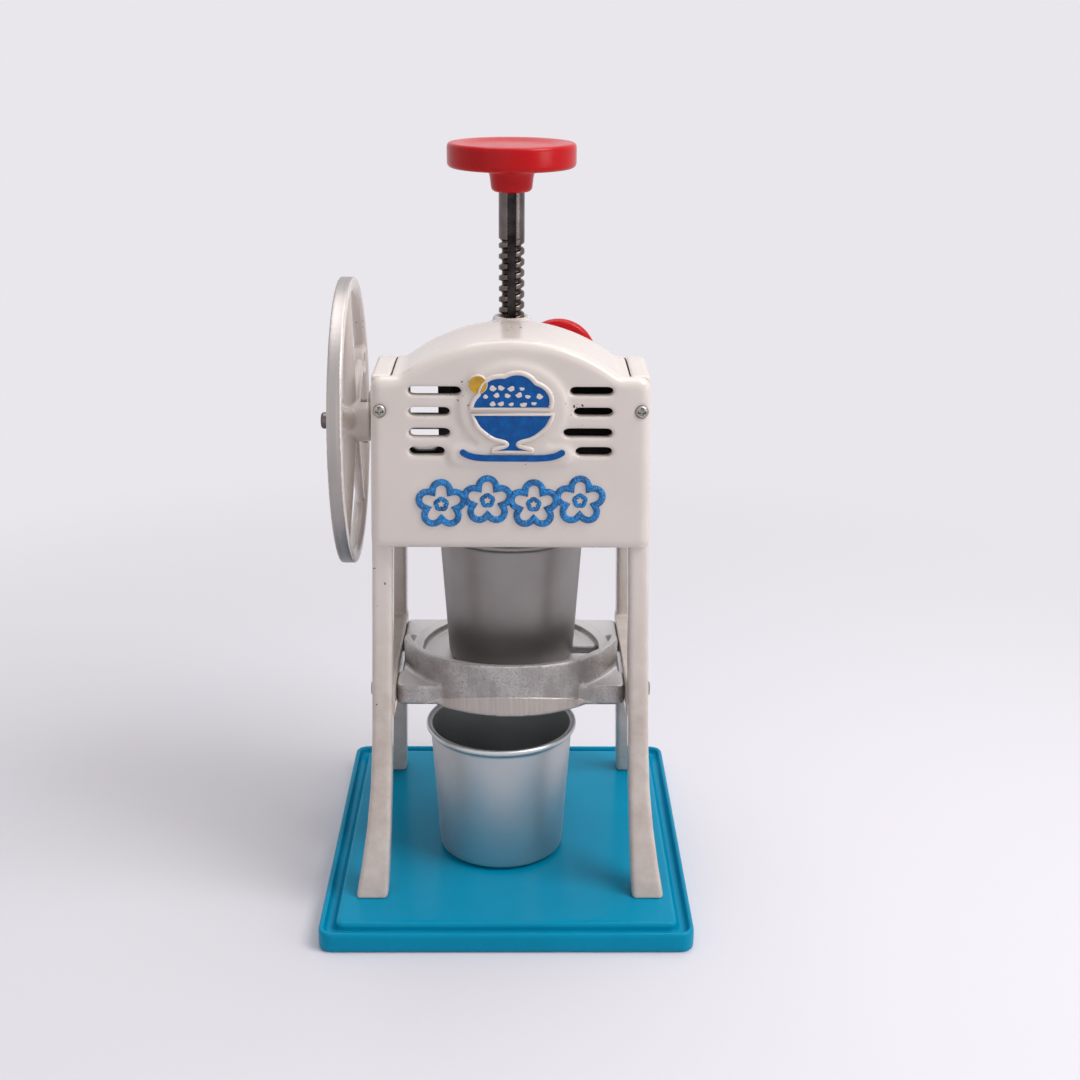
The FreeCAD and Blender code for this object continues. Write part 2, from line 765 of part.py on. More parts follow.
def bearing_bridge():
    """Upper bridge: bears the feed nut's neck, the axle's inner bush and the brake screw."""
    reach = upper_bridge_half_depth
    bar = cross_bar(upper_bridge_z, upper_bridge_thickness, reach, upper_bridge_boss_radius)
    shapes = [bar]
    flange_bottom = upper_bridge_z - bridge_flange_drop
    for side in (-1, 1):
        x0, x1 = sorted((side * frame_inner, side * (frame_inner - bridge_flange)))
        shapes.append(block(x0, x1, -reach, reach, flange_bottom, upper_bridge_z + 1))
    lug_left = lug_right - lug_thickness
    shapes.append(block(lug_left, lug_right, -lug_half_depth, lug_half_depth, axle_z, upper_bridge_z + 1))
    shapes.append(rod(lug_half_depth, (lug_left, 0, axle_z), (lug_right, 0, axle_z)))
    anchor_y = ear_gap / 2 + ear_thickness + seam_gap
    knob_z = up(knob_height)
    shapes.append(block(knob_x - anchor_half_width, knob_x + anchor_half_width, anchor_y,
                        anchor_y + anchor_thickness, knob_z - anchor_half_width, upper_bridge_z + 1))
    tools = [rod(axle_bush_radius, (lug_left - 1, 0, axle_z), (lug_right + 1, 0, axle_z))]
    tools.append(rod(brake_screw_radius + screw_clearance, (knob_x, anchor_y - 1, knob_z),
                     (knob_x, anchor_y + anchor_thickness + 1, knob_z)))
    tools.append(rod(nut_neck_radius + running_fit, (0, 0, upper_bridge_z - 1),
                     (0, 0, upper_bridge_z + upper_bridge_thickness + 1)))
    return without(joined(shapes), tools + bridge_taps(reach, upper_bolt_z()))


def gear_bridge():
    bar = cross_bar(lower_bridge_z, lower_bridge_thickness, lower_bridge_half_depth, lower_bridge_boss_radius)
    bore = rod(gear_journal_radius + bush_wall, (0, 0, lower_bridge_z - 1),
               (0, 0, lower_bridge_z + lower_bridge_thickness + 1))
    return without(bar, [bore] + bridge_taps(lower_bridge_half_depth, lower_bolt_z()))


def axle_bush_outer():
    return tube(axle_bush_radius, axle_radius + running_fit, (axle_boss_end, 0, axle_z),
                (-frame_inner + 0.8, 0, axle_z))


def axle_bush_inner():
    return tube(axle_bush_radius, axle_radius + running_fit, (lug_right - lug_thickness, 0, axle_z),
                (lug_right, 0, axle_z))


def spindle_bush():
    bottom = apex_z - hood_wall - spindle_boss_depth
    return tube(spindle_bush_radius, spindle_radius + running_fit, (0, 0, bottom),
                (0, 0, apex_z + collar_rise))


def gear_bush():
    top = lower_bridge_z + lower_bridge_thickness
    inner = gear_journal_radius + running_fit
    sleeve = rod(gear_journal_radius + bush_wall, (0, 0, lower_bridge_z), (0, 0, top))
    flange = rod(thrust_flange_radius, (0, 0, top), (0, 0, top + thrust_flange))
    bush = joined([sleeve, flange])
    return bush.cut(rod(inner, (0, 0, lower_bridge_z - 1), (0, 0, top + thrust_flange + 1)))


# ---- blade table ----
def knife_frame():
    """Placement of the knife: its edge runs along +X just above the table floor."""
    turn = FreeCAD.Rotation(Vector(1, 0, 0), knife_angle)
    return FreeCAD.Placement(Vector(knife_start, 0, table_top + 0.4), turn)


def knife_blank(extra, reach):
    """Plate that runs back and down from the cutting edge, in the knife's frame."""
    plate = Part.makeBox(knife_length + 2 * extra, reach, knife_thickness + extra,
                         Vector(-extra, -reach, -knife_thickness - extra))
    return plate


def blade():
    plate = knife_blank(0.0, knife_width)
    bevel = Part.makeBox(knife_length + 2, knife_thickness * 2, knife_thickness * 2,
                         Vector(-1, 0, -knife_thickness))
    bevel.rotate(Vector(0, 0, -knife_thickness), Vector(1, 0, 0), 32)
    bevel.translate(Vector(0, -1.2, -knife_thickness * 0.6))
    plate = plate.cut(bevel)
    holes = [rod(screw_radius + running_fit, (x, -knife_width * 0.6, -knife_thickness - 1),
                 (x, -knife_width * 0.6, 1)) for x in knife_screw_places()]
    plate = without(plate, holes)
    plate.Placement = knife_frame()
    return plate


def knife_screw_places():
    return (knife_length * 0.25, knife_length * 0.75)


def blade_screws():
    screws = []
    for x in knife_screw_places():
        piece = screw((x, -knife_width * 0.6, -knife_thickness), (0, 0, 1), screw_radius, screw_head_radius,
                      screw_head_height, knife_thickness + 3.0)
        piece.Placement = knife_frame().multiply(piece.Placement)
        screws.append(piece)
    return Part.makeCompound(screws)


def guard_cutter():
    """Everything above the sloping top edge of the guard wall."""
    x = -disc_radius - 5
    points = [Vector(x, share * (disc_radius + 1), table_top + rise) for share, rise in guard_heights]
    curve = Part.BSplineCurve()
    curve.interpolate(points)
    edge = curve.toShape()
    high = table_top + 60
    front_top = Vector(points[0].x, points[0].y, high)
    rear_top = Vector(points[-1].x, points[-1].y, high)
    wire = Part.Wire([edge, Part.makeLine(points[-1], rear_top), Part.makeLine(rear_top, front_top),
                      Part.makeLine(front_top, points[0])])
    return Part.Face(wire).extrude(Vector(2 * disc_radius + 10, 0, 0))


def blade_table():
    bottom = up(table_underside)
    end_x = frame_inner + 1.5
    plate = block(-end_x, end_x, -table_half_depth, table_half_depth, bottom, table_top)
    plate = filleted(plate, 4.0, lambda e: abs(e.BoundBox.ZLength - table_thickness) < 0.01)
    disc = rod(disc_radius, (0, 0, bottom - disc_drop), (0, 0, table_top))
    rim = rod(rim_radius, (0, 0, bottom), (0, 0, table_top + rim_rise))
    guard_top = table_top + guard_heights[0][1] + 1
    guard = tube(disc_radius, disc_radius - guard_wall, (0, 0, table_top), (0, 0, guard_top))
    guard = guard.cut(guard_cutter())
    tools = [rod(floor_radius, (0, 0, table_top), (0, 0, table_top + 40))]
    for side in (-1, 1):
        x0, x1 = sorted((side * (end_x - end_notch_depth), side * (end_x + 1)))
        tools.append(block(x0, x1, end_notch_y - end_notch_length / 2, end_notch_y + end_notch_length / 2,
                           bottom - disc_drop - 1, guard_top))
    for y, z in table_bolt_places():
        for side in (-1, 1):
            tools.append(rod(bolt_radius + tight_fit, (side * (end_x + 1), y, z),
                             (side * (end_x + rail_thickness - bolt_length), y, z)))
    tools.append(block(knife_start - 0.6, knife_start + knife_length + 0.6, -1.0, knife_slot_width - 1.0,
                       bottom - disc_drop - 1, table_top + 5))
    seat = knife_blank(0.6, 2 * knife_width)
    room = Part.makeBox(knife_length + 1.2, 2 * knife_width, 12.0, Vector(-0.6, -2 * knife_width, -12.0))
    seat = joined([seat.common(room), room])
    seat.Placement = knife_frame()
    tools.append(seat)
    for x in knife_screw_places():
        tap = rod(screw_radius + tight_fit, (x, -knife_width * 0.6, -1), (x, -knife_width * 0.6, 3.2))
        tap.Placement = knife_frame()
        tools.append(tap)
    return without(joined([plate, disc, rim, guard]), tools)


# ---- bevel gears ----
def involute_angle(radius, base):
    """Polar angle of the involute at a radius."""
    ratio = max(0.0, (radius / base) ** 2 - 1)
    return math.sqrt(ratio) - math.atan(math.sqrt(ratio))


def tooth_section(teeth, cone, length):
    """One tooth's outline, laid flat against the back cone at a cone length.

    The apex of the pitch cone is at the origin and the gear's axis is +Z.
    """
    scale = length / cone_length
    virtual = gear_module * teeth / 2 / math.cos(cone)
    base = virtual * math.cos(math.radians(pressure_angle))
    low = virtual - tooth_dedendum * gear_module
    high = virtual + tooth_addendum * gear_module
    half_tooth = tooth_share * math.pi * gear_module / 2 / virtual
    at_pitch = involute_angle(virtual, base)
    start = max(low, base)
    radii = [low - 0.4, start] + [start + (high - start) * k / 3 for k in (1, 2, 3)]
    flank = [(radius, half_tooth + at_pitch - involute_angle(max(radius, base), base)) for radius in radii]
    points = []
    for radius, angle in flank + [(radius, -angle) for radius, angle in reversed(flank)]:
        outward = radius * math.cos(angle)
        sideways = radius * math.sin(angle)
        height = cone_length / math.cos(cone) - outward * math.sin(cone)
        points.append(Vector(outward * math.cos(cone) * scale, sideways * scale, height * scale))
    return Part.makePolygon(points + points[:1])


def toothed_ring(teeth, cone):
    """All teeth plus the conical rim under them; apex at the origin, axis +Z."""
    inner = cone_length - gear_face
    ends = [tooth_section(teeth, cone, cone_length), tooth_section(teeth, cone, inner)]
    tooth = Part.makeLoft(ends, True, True)
    shapes = []
    for index in range(teeth):
        copy = tooth.copy()
        copy.rotate(Vector(0, 0, 0), Vector(0, 0, 1), 360.0 * index / teeth)
        shapes.append(copy)
    return shapes


def gear_solid(teeth, cone, back, hub_radius, bore):
    """Gear with its apex at the origin; the body grows away from the apex along +Z."""
    outer_r, outer_h = root_point(cone, cone_length, teeth)
    inner_r, inner_h = root_point(cone, cone_length - gear_face, teeth)
    points = [(bore, inner_h), (inner_r, inner_h), (outer_r, outer_h), (outer_r, outer_h + back)]
    points += [(hub_radius, outer_h + back), (bore, outer_h + back)]
    blank = revolved(points, (0, 0, 0), (0, 0, 1))
    return joined([blank] + toothed_ring(teeth, cone))


def bevel_gear():
    gear = gear_solid(gear_teeth, gear_cone, gear_back, gear_hub_radius, spindle_radius + running_fit)
    # turned over so that the teeth face up to the apex on the axle line
    gear.rotate(Vector(0, 0, 0), Vector(1, 0, 0), 180)
    gear.rotate(Vector(0, 0, 0), Vector(0, 0, 1), 180.0 / gear_teeth)
    gear.translate(Vector(0, 0, axle_z))
    seat = up(gear_seat_height)
    plate_bottom = gear.BoundBox.ZMin
    hub = rod(gear_hub_radius, (0, 0, seat), (0, 0, plate_bottom + 1))
    journal = rod(gear_journal_radius, (0, 0, lower_bridge_z - gear_journal_end), (0, 0, seat + 1))
    gear = joined([gear, hub, journal])
    low = lower_bridge_z - gear_journal_end - 1
    high = axle_z
    bore = rod(spindle_radius + running_fit, (0, 0, low), (0, 0, high))
    half_key = keyway_width / 2 - key_side_gap
    key_seat = block(-half_key, half_key, -(spindle_radius - keyway_depth + key_height), 0, low, high)
    return without(gear, [bore, key_seat])


def gear_key():
    half_key = keyway_width / 2 - key_side_gap
    inner = -(spindle_radius - keyway_depth + 0.2)
    outer = -(spindle_radius - keyway_depth + key_height)
    bottom = lower_bridge_z - gear_journal_end
    top = axle_z - gear_pitch_radius * math.tan(pinion_cone) + 2.0
    return block(-half_key, half_key, outer, inner, bottom, top - 4.0)


def bevel_pinion():
    pinion = gear_solid(pinion_teeth, pinion_cone, pinion_back, pinion_hub_radius, axle_radius)
    back = pinion.BoundBox.ZMax
    hub = tube(pinion_hub_radius, axle_radius, (0, 0, back - 0.6), (0, 0, back + pinion_hub_length))
    pinion = joined([pinion, hub])
    pinion = pinion.cut(rod(axle_radius + tight_fit, (0, 0, 0), (0, 0, back + 20)))
    pinion.rotate(Vector(0, 0, 0), Vector(0, 1, 0), -90)
    pinion.translate(Vector(0, 0, axle_z))
    pin_x = pinion.BoundBox.XMin + pinion_hub_length / 2
    pin_hole = rod(pinion_pin_radius + tight_fit, (pin_x, 0, axle_z - 20), (pin_x, 0, axle_z + 20))
    return pinion.cut(pin_hole), pin_x


def pinion_pin(x):
    return rod(pinion_pin_radius, (x, 0, axle_z - pinion_hub_radius), (x, 0, axle_z + pinion_hub_radius))


# ---- axle and handwheel ----
def drive_axle(pin_x):
    inner_end = -(cone_length - gear_face) * math.cos(pinion_cone) + 1.0
    shaft = rod(axle_radius, (axle_end, 0, axle_z), (inner_end, 0, axle_z))
    shaft = filleted(shaft, 1.4, lambda e: e.BoundBox.XMax < axle_end + 0.01)
    tools = [rod(pinion_pin_radius + tight_fit, (pin_x, 0, axle_z - 20), (pin_x, 0, axle_z + 20))]
    wheel_x = wheel_pin_x()
    tools.append(rod(pin_radius + tight_fit, (wheel_x, 0, axle_z - 20), (wheel_x, 0, axle_z + 20)))
    return without(shaft, tools)


def wheel_pin_x():
    return (wheel_hub_inner + wheel_plane + wheel_rim_width / 2) / 2


def spoke(angle):
    """Tapered oval spoke from the hub to the rim."""
    sections = []
    inner = wheel_hub_radius - 3.0
    outer = wheel_radius - wheel_rim_depth + 1.5
    for share in (0.0, 1.0):
        width = spoke_width_hub + (spoke_width_rim - spoke_width_hub) * share
        depth = spoke_depth_hub + (spoke_depth_rim - spoke_depth_hub) * share
        ring = Part.Ellipse(Vector(0, 0, 0), width / 2, depth / 2).toShape()
        wire = Part.Wire(ring)
        # the ellipse's long axis lies in the wheel's plane
        wire.Placement = FreeCAD.Placement(Vector(0, 0, inner + (outer - inner) * share),
                                           FreeCAD.Rotation(Vector(0, 0, 1), 90))
        sections.append(wire)
    arm = Part.makeLoft(sections, True, True)
    arm.rotate(Vector(0, 0, 0), Vector(1, 0, 0), -angle)
    return arm


def handwheel():
    half = wheel_rim_width / 2
    inner = wheel_radius - wheel_rim_depth
    profile = [(wheel_radius, -half), (wheel_radius, half), (inner + 2.2, half), (inner, half - 1.6)]
    profile += [(inner, -half + 1.6), (inner + 2.2, -half)]
    rim = revolved(profile, (0, 0, 0), (1, 0, 0))
    hub = rod(wheel_hub_radius, (wheel_hub_outer - wheel_plane, 0, 0), (wheel_hub_inner - wheel_plane, 0, 0))
    hub = filleted(hub, 1.2, lambda e: e.BoundBox.XLength < 0.01)
    arms = [spoke(360.0 * index / wheel_spokes) for index in range(wheel_spokes)]
    angle = math.radians(360.0 / wheel_spokes)
    boss_y = grip_circle * math.sin(angle)
    boss_z = grip_circle * math.cos(angle)
    boss = rod(grip_boss_radius, (-half - grip_boss_rise, boss_y, boss_z), (half - 0.6, boss_y, boss_z))
    wheel = joined([rim, hub, boss] + arms)
    tools = [rod(axle_radius + tight_fit, (-60, 0, 0), (60, 0, 0))]
    tools.append(rod(grip_hole_radius, (-60, boss_y, boss_z), (60, boss_y, boss_z)))
    pin_x = wheel_pin_x() - wheel_plane
    tools.append(rod(pin_radius + tight_fit, (pin_x, 0, -20), (pin_x, 0, 20)))
    wheel = without(wheel, tools)
    wheel.translate(Vector(wheel_plane, 0, axle_z))
    return wheel


def wheel_pin():
    x = wheel_pin_x()
    reach = wheel_hub_radius + 0.6
    return rod(pin_radius, (x, 0, axle_z - reach), (x, 0, axle_z + reach))


def axle_collar():
    start = -frame_inner + 0.8 + seam_gap
    return tube(collar_outer_radius, axle_radius + tight_fit, (start, 0, axle_z),
                (start + collar_width, 0, axle_z))


# ---- screw spindle ----
def screw_spindle():
    bottom = up(spindle_bottom)
    top = up(handle_base_height) + handle_socket_depth
    shaft = rod(spindle_radius, (0, 0, bottom), (0, 0, top))
    half = keyway_width / 2
    groove_bottom = bottom + plate_hub_height + 1.0
    groove = block(-half, half, -spindle_radius - 1, -spindle_radius + keyway_depth, groove_bottom,
                   up(handle_base_height) - 0.5)
    pin_z = handle_pin_z()
    pin_hole = rod(pin_radius + tight_fit, (-20, 0, pin_z), (20, 0, pin_z))
    tap = rod(bolt_radius + tight_fit, (0, 0, bottom - 1), (0, 0, bottom + plate_screw_reach + 3))
    return without(shaft, [groove, pin_hole, tap])


def handle_pin_z():
    return up(handle_base_height) + handle_hub_height / 2


def handle_pin():
    z = handle_pin_z()
    return rod(pin_radius, (-handle_hub_base_radius, 0, z), (handle_hub_base_radius, 0, z))


def top_handle():
    """Round moulded handle: thick rim with rounded edges, hollowed top, tapered hub."""
    r = handle_radius
    rim = handle_hub_height
    top = rim + handle_rim_height
    hollow = top - handle_dish
    points = [(0, hollow), (r * 0.62, hollow), (r - 2 * handle_rim_round, top), (r, top)]
    points += [(r, rim), (handle_hub_top_radius + 2, rim - handle_under_rise)]
    points += [(handle_hub_top_radius, rim - handle_under_rise - 2), (handle_hub_base_radius, 0), (0, 0)]
    handle = revolved(points, (0, 0, up(handle_base_height)), (0, 0, 1))
    handle = filleted(handle, handle_rim_round,
                      lambda e: e.BoundBox.XMax > r - 0.01 and e.BoundBox.ZLength < 0.01)
    z = up(handle_base_height)
    socket = rod(spindle_radius + tight_fit, (0, 0, z - 1), (0, 0, z + handle_socket_depth))
    pin_z = handle_pin_z()
    return without(handle, [socket, rod(pin_radius + tight_fit, (-30, 0, pin_z), (30, 0, pin_z))])


def ice_plate():
    """Disc with a hub above and a ring of spikes below that grip the ice."""
    disc_top = up(spindle_bottom)
    disc = rod(plate_radius, (0, 0, disc_top - plate_thickness), (0, 0, disc_top))
    disc = filleted(disc, 1.0, lambda e: e.BoundBox.ZLength < 0.01)
    hub = Part.makeCone(plate_hub_radius + 3, plate_hub_radius, plate_hub_height + plate_overlap,
                        Vector(0, 0, disc_top - plate_overlap))
    shapes = [disc, hub]
    for index in range(spike_count):
        angle = 2 * math.pi * (index + 0.5) / spike_count
        base = Vector(spike_ring_radius * math.cos(angle), spike_ring_radius * math.sin(angle),
                      disc_top - plate_thickness + plate_overlap)
        shapes.append(Part.makeCone(spike_radius, spike_tip_radius, spike_height + plate_overlap, base,
                                    Vector(0, 0, -1)))
    plate = joined(shapes)
    socket = rod(spindle_radius + tight_fit, (0, 0, disc_top), (0, 0, disc_top + 20))
    hole = rod(bolt_radius + running_fit, (0, 0, disc_top - 20), (0, 0, disc_top + 1))
    return without(plate, [socket, hole])


def plate_screw():
    seat = up(spindle_bottom) - plate_thickness
    return screw((0, 0, seat), (0, 0, 1), bolt_radius, bolt_head_radius, bolt_head_height,
                 plate_thickness + plate_screw_reach)


# ---- feed nut and brake ----
def feed_nut():
    drum = rod(nut_radius, (0, 0, nut_bottom), (0, 0, nut_top))
    drum = filleted(drum, 0.8, lambda e: e.BoundBox.ZLength < 0.01)
    neck_top = upper_bridge_z + upper_bridge_thickness + nut_neck_rise
    neck = rod(nut_neck_radius, (0, 0, nut_bottom + 1), (0, 0, neck_top))
    nut = joined([drum, neck])
    return nut.cut(rod(spindle_radius + thread_gap, (0, 0, nut_bottom - 1), (0, 0, neck_top + 1)))


def nut_retainer():
    bottom = upper_bridge_z + upper_bridge_thickness + rest_gap
    return tube(retainer_radius, nut_neck_radius + tight_fit, (0, 0, bottom),
                (0, 0, bottom + retainer_height))


def brake_band():
    """Strap round the feed nut with two ears that the screw draws together."""
    z0 = up(knob_height) - band_width / 2
    z1 = z0 + band_width
    inner = nut_radius + seam_gap
    outer = inner + band_thickness
    band = tube(outer, inner, (0, 0, z0), (0, 0, z1))
    half_gap = ear_gap / 2
    ears = []
    for side in (-1, 1):
        y0, y1 = sorted((side * half_gap, side * (half_gap + ear_thickness)))
        ears.append(block(nut_radius + 0.8, nut_radius + 1 + ear_length, y0, y1, z0, z1))
    front_y = -half_gap - ear_thickness
    ears.append(block(knob_x - ear_nut_half, knob_x + ear_nut_half, front_y - ear_nut_depth, front_y + 0.5,
                      z0, z1))
    strap = joined([band] + ears)
    tools = [block(0, outer + 1, -half_gap, half_gap, z0 - 1, z1 + 1)]
    tools.append(rod(inner, (0, 0, z0 - 1), (0, 0, z1 + 1)))
    knob_z = up(knob_height)
    tools.append(rod(brake_screw_radius + running_fit, (knob_x, -30, knob_z), (knob_x, 30, knob_z)))
    return without(strap, tools)


def knob_start():
    return half_depth + knob_boss_rise + seam_gap


def brake_screw():
    z = up(knob_height)
    start = -(ear_gap / 2 + ear_thickness + ear_nut_depth + 2.0)
    return rod(brake_screw_radius, (knob_x, start, z), (knob_x, knob_start() + knob_offset + 4.0, z))


def brake_knob():
    y = knob_start()
    r = knob_radius
    disc = y + knob_offset
    points = [(0, y), (knob_hub_radius, y), (knob_hub_radius, disc), (r * 0.7, disc), (r - 1.5, disc + 0.8)]
    points += [(r, disc + 2.4), (r, disc + knob_thickness - 2.2), (r - 2.0, disc + knob_thickness - 0.4)]
    points += [(r * 0.6, disc + knob_thickness), (0, disc + knob_thickness)]
    knob = revolved(points, (knob_x, 0, up(knob_height)), (0, 1, 0))
    z = up(knob_height)
    return knob.cut(rod(brake_screw_radius + tight_fit, (knob_x, 0, z), (knob_x, disc + 4.0, z)))


# ---- cups ----
def cup(x, y, z):
    """Spun cup with a rolled bead round its rim."""
    base = cup_base_radius
    wall_top = cup_rim_radius - cup_bead
    slope = (wall_top - base) / cup_height
    r = cup_corner_radius
    t = cup_sheet
    points = [(0, 0), (base - r, 0), (base - r * 0.3, r * 0.3), (base + slope * r, r)]
    points += [(wall_top, cup_height - 2 * cup_bead), (cup_rim_radius, cup_height - 2 * cup_bead + 0.4)]
    points += [(cup_rim_radius + 0.3, cup_height - cup_bead), (cup_rim_radius - 0.5, cup_height - 0.3)]
    points += [(wall_top - 0.2, cup_height), (wall_top - t, cup_height - 0.8)]
    points += [(base + slope * r - t, r), (base - r * 0.3 - t, r * 0.3 + t * 0.6)]
    points += [(base - r - t * 0.4, t), (0, t)]
    return revolved(points, (x, y, z), (0, 0, 1))


# ---- fasteners in groups ----
def both_sides(shapes):
    return Part.makeCompound(shapes + [mirrored(shape) for shape in shapes])


def front_cover_screws():
    z = up(cover_screw_height)
    return both_sides([cover_screw((-cover_screw_x, -half_depth + 0.8, z), (0, 1, 0))])


def rear_cover_screws():
    z = up(rear_screw_height)
    return both_sides([cover_screw((-cover_screw_x, half_depth, z), (0, -1, 0))])


def hood_side_screws():
    """The hood is screwed to the left frame only."""
    z = up(side_screw_height)
    return cover_screw((head_seat(z, screw_head_radius), side_screw_y, z), (1, 0, 0))


def bridge_bolts():
    bolts = []
    for place in bridge_bolt_places():
        upper = place[2] > axle_z
        length = -place[0] - frame_inner + bridge_bolt_grip if upper else bolt_length
        bolts.append(bolt(place, (1, 0, 0), length))
    return both_sides(bolts)


def table_bolts():
    x = -(frame_outer(table_underside) - 0.8)
    return both_sides([bolt((x, y, z), (1, 0, 0)) for y, z in table_bolt_places()])


# ---- the whole shaver ----
def build():
    nodes["base_tray"] = base_tray()
    nodes["left_side_frame"] = left_side_frame()
    nodes["right_side_frame"] = mirrored(side_frame())
    nodes["front_cover"] = front_cover()
    nodes["rear_cover"] = rear_cover()
    nodes["bearing_bridge"] = bearing_bridge()
    nodes["gear_bridge"] = gear_bridge()
    nodes["axle_bush_outer"] = axle_bush_outer()
    nodes["axle_bush_inner"] = axle_bush_inner()
    nodes["spindle_bush"] = spindle_bush()
    nodes["gear_bush"] = gear_bush()
    nodes["blade_table"] = blade_table()
    nodes["blade"] = blade()
    nodes["blade_screws"] = blade_screws()
    nodes["front_cover_screws"] = front_cover_screws()
    nodes["rear_cover_screws"] = rear_cover_screws()
    nodes["hood_side_screws"] = hood_side_screws()
    nodes["bridge_bolts"] = bridge_bolts()
    nodes["table_bolts"] = table_bolts()
    nodes["brake_band"] = brake_band()
    nodes["handwheel"] = handwheel()
    pinion, pin_x = bevel_pinion()
    nodes["drive_axle"] = drive_axle(pin_x)
    nodes["bevel_pinion"] = pinion
    nodes["pinion_pin"] = pinion_pin(pin_x)
    nodes["wheel_pin"] = wheel_pin()
    nodes["axle_collar"] = axle_collar()
    nodes["bevel_gear"] = bevel_gear()
    nodes["gear_key"] = gear_key()
    nodes["screw_spindle"] = screw_spindle()
    nodes["top_handle"] = top_handle()
    nodes["handle_pin"] = handle_pin()
    nodes["ice_plate"] = ice_plate()
    nodes["plate_screw"] = plate_screw()
    nodes["feed_nut"] = feed_nut()
    nodes["nut_retainer"] = nut_retainer()
    nodes["brake_screw"] = brake_screw()
    nodes["brake_knob"] = brake_knob()
    nodes["upper_cup"] = cup(0, 0, table_top + rest_gap)
    nodes["lower_cup"] = cup(lower_cup_x, lower_cup_y, tray_height + rest_gap)


build()
os.makedirs("parts", exist_ok=True)
for name, shape in nodes.items():
    shape.exportStep("parts/" + name + ".step")
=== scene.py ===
"""Looks of the hand cranked ice shaver: castings, enamel, turned and spun metal, thread and relief.

Metres in Blender, with sizes written in millimetres and turned by MM. +X is the user's right,
+Y points away from the user and +Z is up, as in the frame.
"""
import json
import math
import random

import bmesh
import bpy
from mathutils import Matrix, Vector

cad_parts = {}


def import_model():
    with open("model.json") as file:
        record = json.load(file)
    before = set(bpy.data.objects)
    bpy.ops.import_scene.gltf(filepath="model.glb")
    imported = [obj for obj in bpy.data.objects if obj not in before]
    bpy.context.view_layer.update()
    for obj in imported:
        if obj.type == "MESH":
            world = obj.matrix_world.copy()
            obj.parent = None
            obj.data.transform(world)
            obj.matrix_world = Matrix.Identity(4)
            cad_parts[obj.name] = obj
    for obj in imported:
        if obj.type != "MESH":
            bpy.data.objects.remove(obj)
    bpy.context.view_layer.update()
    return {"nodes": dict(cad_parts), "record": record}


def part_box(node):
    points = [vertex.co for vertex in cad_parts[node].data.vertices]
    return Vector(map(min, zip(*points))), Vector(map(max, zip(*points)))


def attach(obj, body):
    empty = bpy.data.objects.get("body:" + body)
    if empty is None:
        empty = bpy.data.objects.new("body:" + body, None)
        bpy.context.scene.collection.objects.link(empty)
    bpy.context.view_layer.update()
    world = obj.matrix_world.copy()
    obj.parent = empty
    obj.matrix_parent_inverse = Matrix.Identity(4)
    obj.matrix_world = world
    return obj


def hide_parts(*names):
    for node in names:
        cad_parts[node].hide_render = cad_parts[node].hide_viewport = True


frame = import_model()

MM = 0.001
scene = bpy.context.scene
nodes = frame["nodes"]

# ---- sizes that the frame doesn't give, in millimetres unless a comment says otherwise ----
# spindle
thread_pitch = 5.0
thread_depth = 1.5
thread_top = 316.0
thread_runout = 1.5
groove_floor = 0.13       # the groove's half width at its floor, in pitches
groove_mouth = 0.33       # the same at its mouth
keyway_half = 2.0
keyway_depth = 2.2
keyway_front = -3.0       # the keyway's faces lie in front of this
keyway_margin = 0.02
spindle_sides = 128       # faces
spindle_rings = 560       # faces

# cover screws
screw_head_radius = 2.9
screw_head_height = 1.9
screw_shank_radius = 1.5
screw_shank_length = 13.0
shank_sunk = 0.01         # share of the shank that lies in the head
recess_half = 0.17        # the recess's sizes and the crown's fall are shares of the head's
recess_reach = 0.62
recess_depth = 0.6
recess_lip = (0.7, 1.15)  # from inside the recess's edge to outside it
crown_fall = 0.55
crown_power = 2.5

# collar round the spindle
collar_drop = 1.7
collar_reach = 10.5
collar_play = 0.25
ring_rise = 0.2
ring_lip = 0.7
ring_band = 3.0
ring_slope = 1.0
ring_rounding = 0.8

# handle, knob and cups
handle_hub = 9.3          # radius, and so are the next two, further up its hub
handle_neck = 10.2
handle_flare = 12.2
handle_lip = 4.4
handle_dish = 1.4
handle_rounding = 2.4
knob_hub = 7.5
knob_neck = 2.8
knob_rounding = 1.6
cup_bead = 1.8
cup_taper = 4.4
cup_sheet = 1.2
cup_rounding = 1.2
cup_bright_rim = 2.0

# wear, machined faces, and painted shade down the legs, inside the housing and in the spindle's thread
cover_bottom = 183.2
edge_wear_reach = (0.4, 1.6)  # above and below the covers' lower edge
edge_wear = 0.12          # added to the noise that makes chips
chip_levels = (0.475, 0.49)
room_half_width = 53.6
room_half_depth = 51.5
room_bottom = 184.0
room_top = 262.0
room_tilt = 0.3           # faces that point further up than this are outside
tread_fade = (0.35, 0.10)  # from this far inside the tread's radius to this far
groove_shade_fade = (1.1, 0.3)   # the same for the thread's crest, below which the grooves get painted shade
band_reach = 46.0
band_height = 10.5
band_step = 0.7

# rounding and welding
corner_share = 0.45       # of a side, at most, for one rounded corner
weld_gap = 0.002
axis_gap = 1e-4

# relief on the front
face_y = -57.0            # the cover's face
field_y = -58.5           # the raised field on it
relief_x = 0.8
relief_rim_z = 248.5
rim_gap = 1.2
ridge_radius = 1.15
heap_half_width = 16.5
heap_height = 15.0
heap_swell = 0.10         # of the heap's size
heap_lobes = 3.5          # in half a turn
flake_gap = 4.6
flake_row_gap = 3.5
flake_reach = 14.0
flake_base = 3.6
slice_offset = (-15.2, 12.2)
slice_radius = 3.8
slice_ridge = 0.7
plate_z = 227.2
plate_half = 22
plate_rise = 2.6
plate_line_half = 1.25

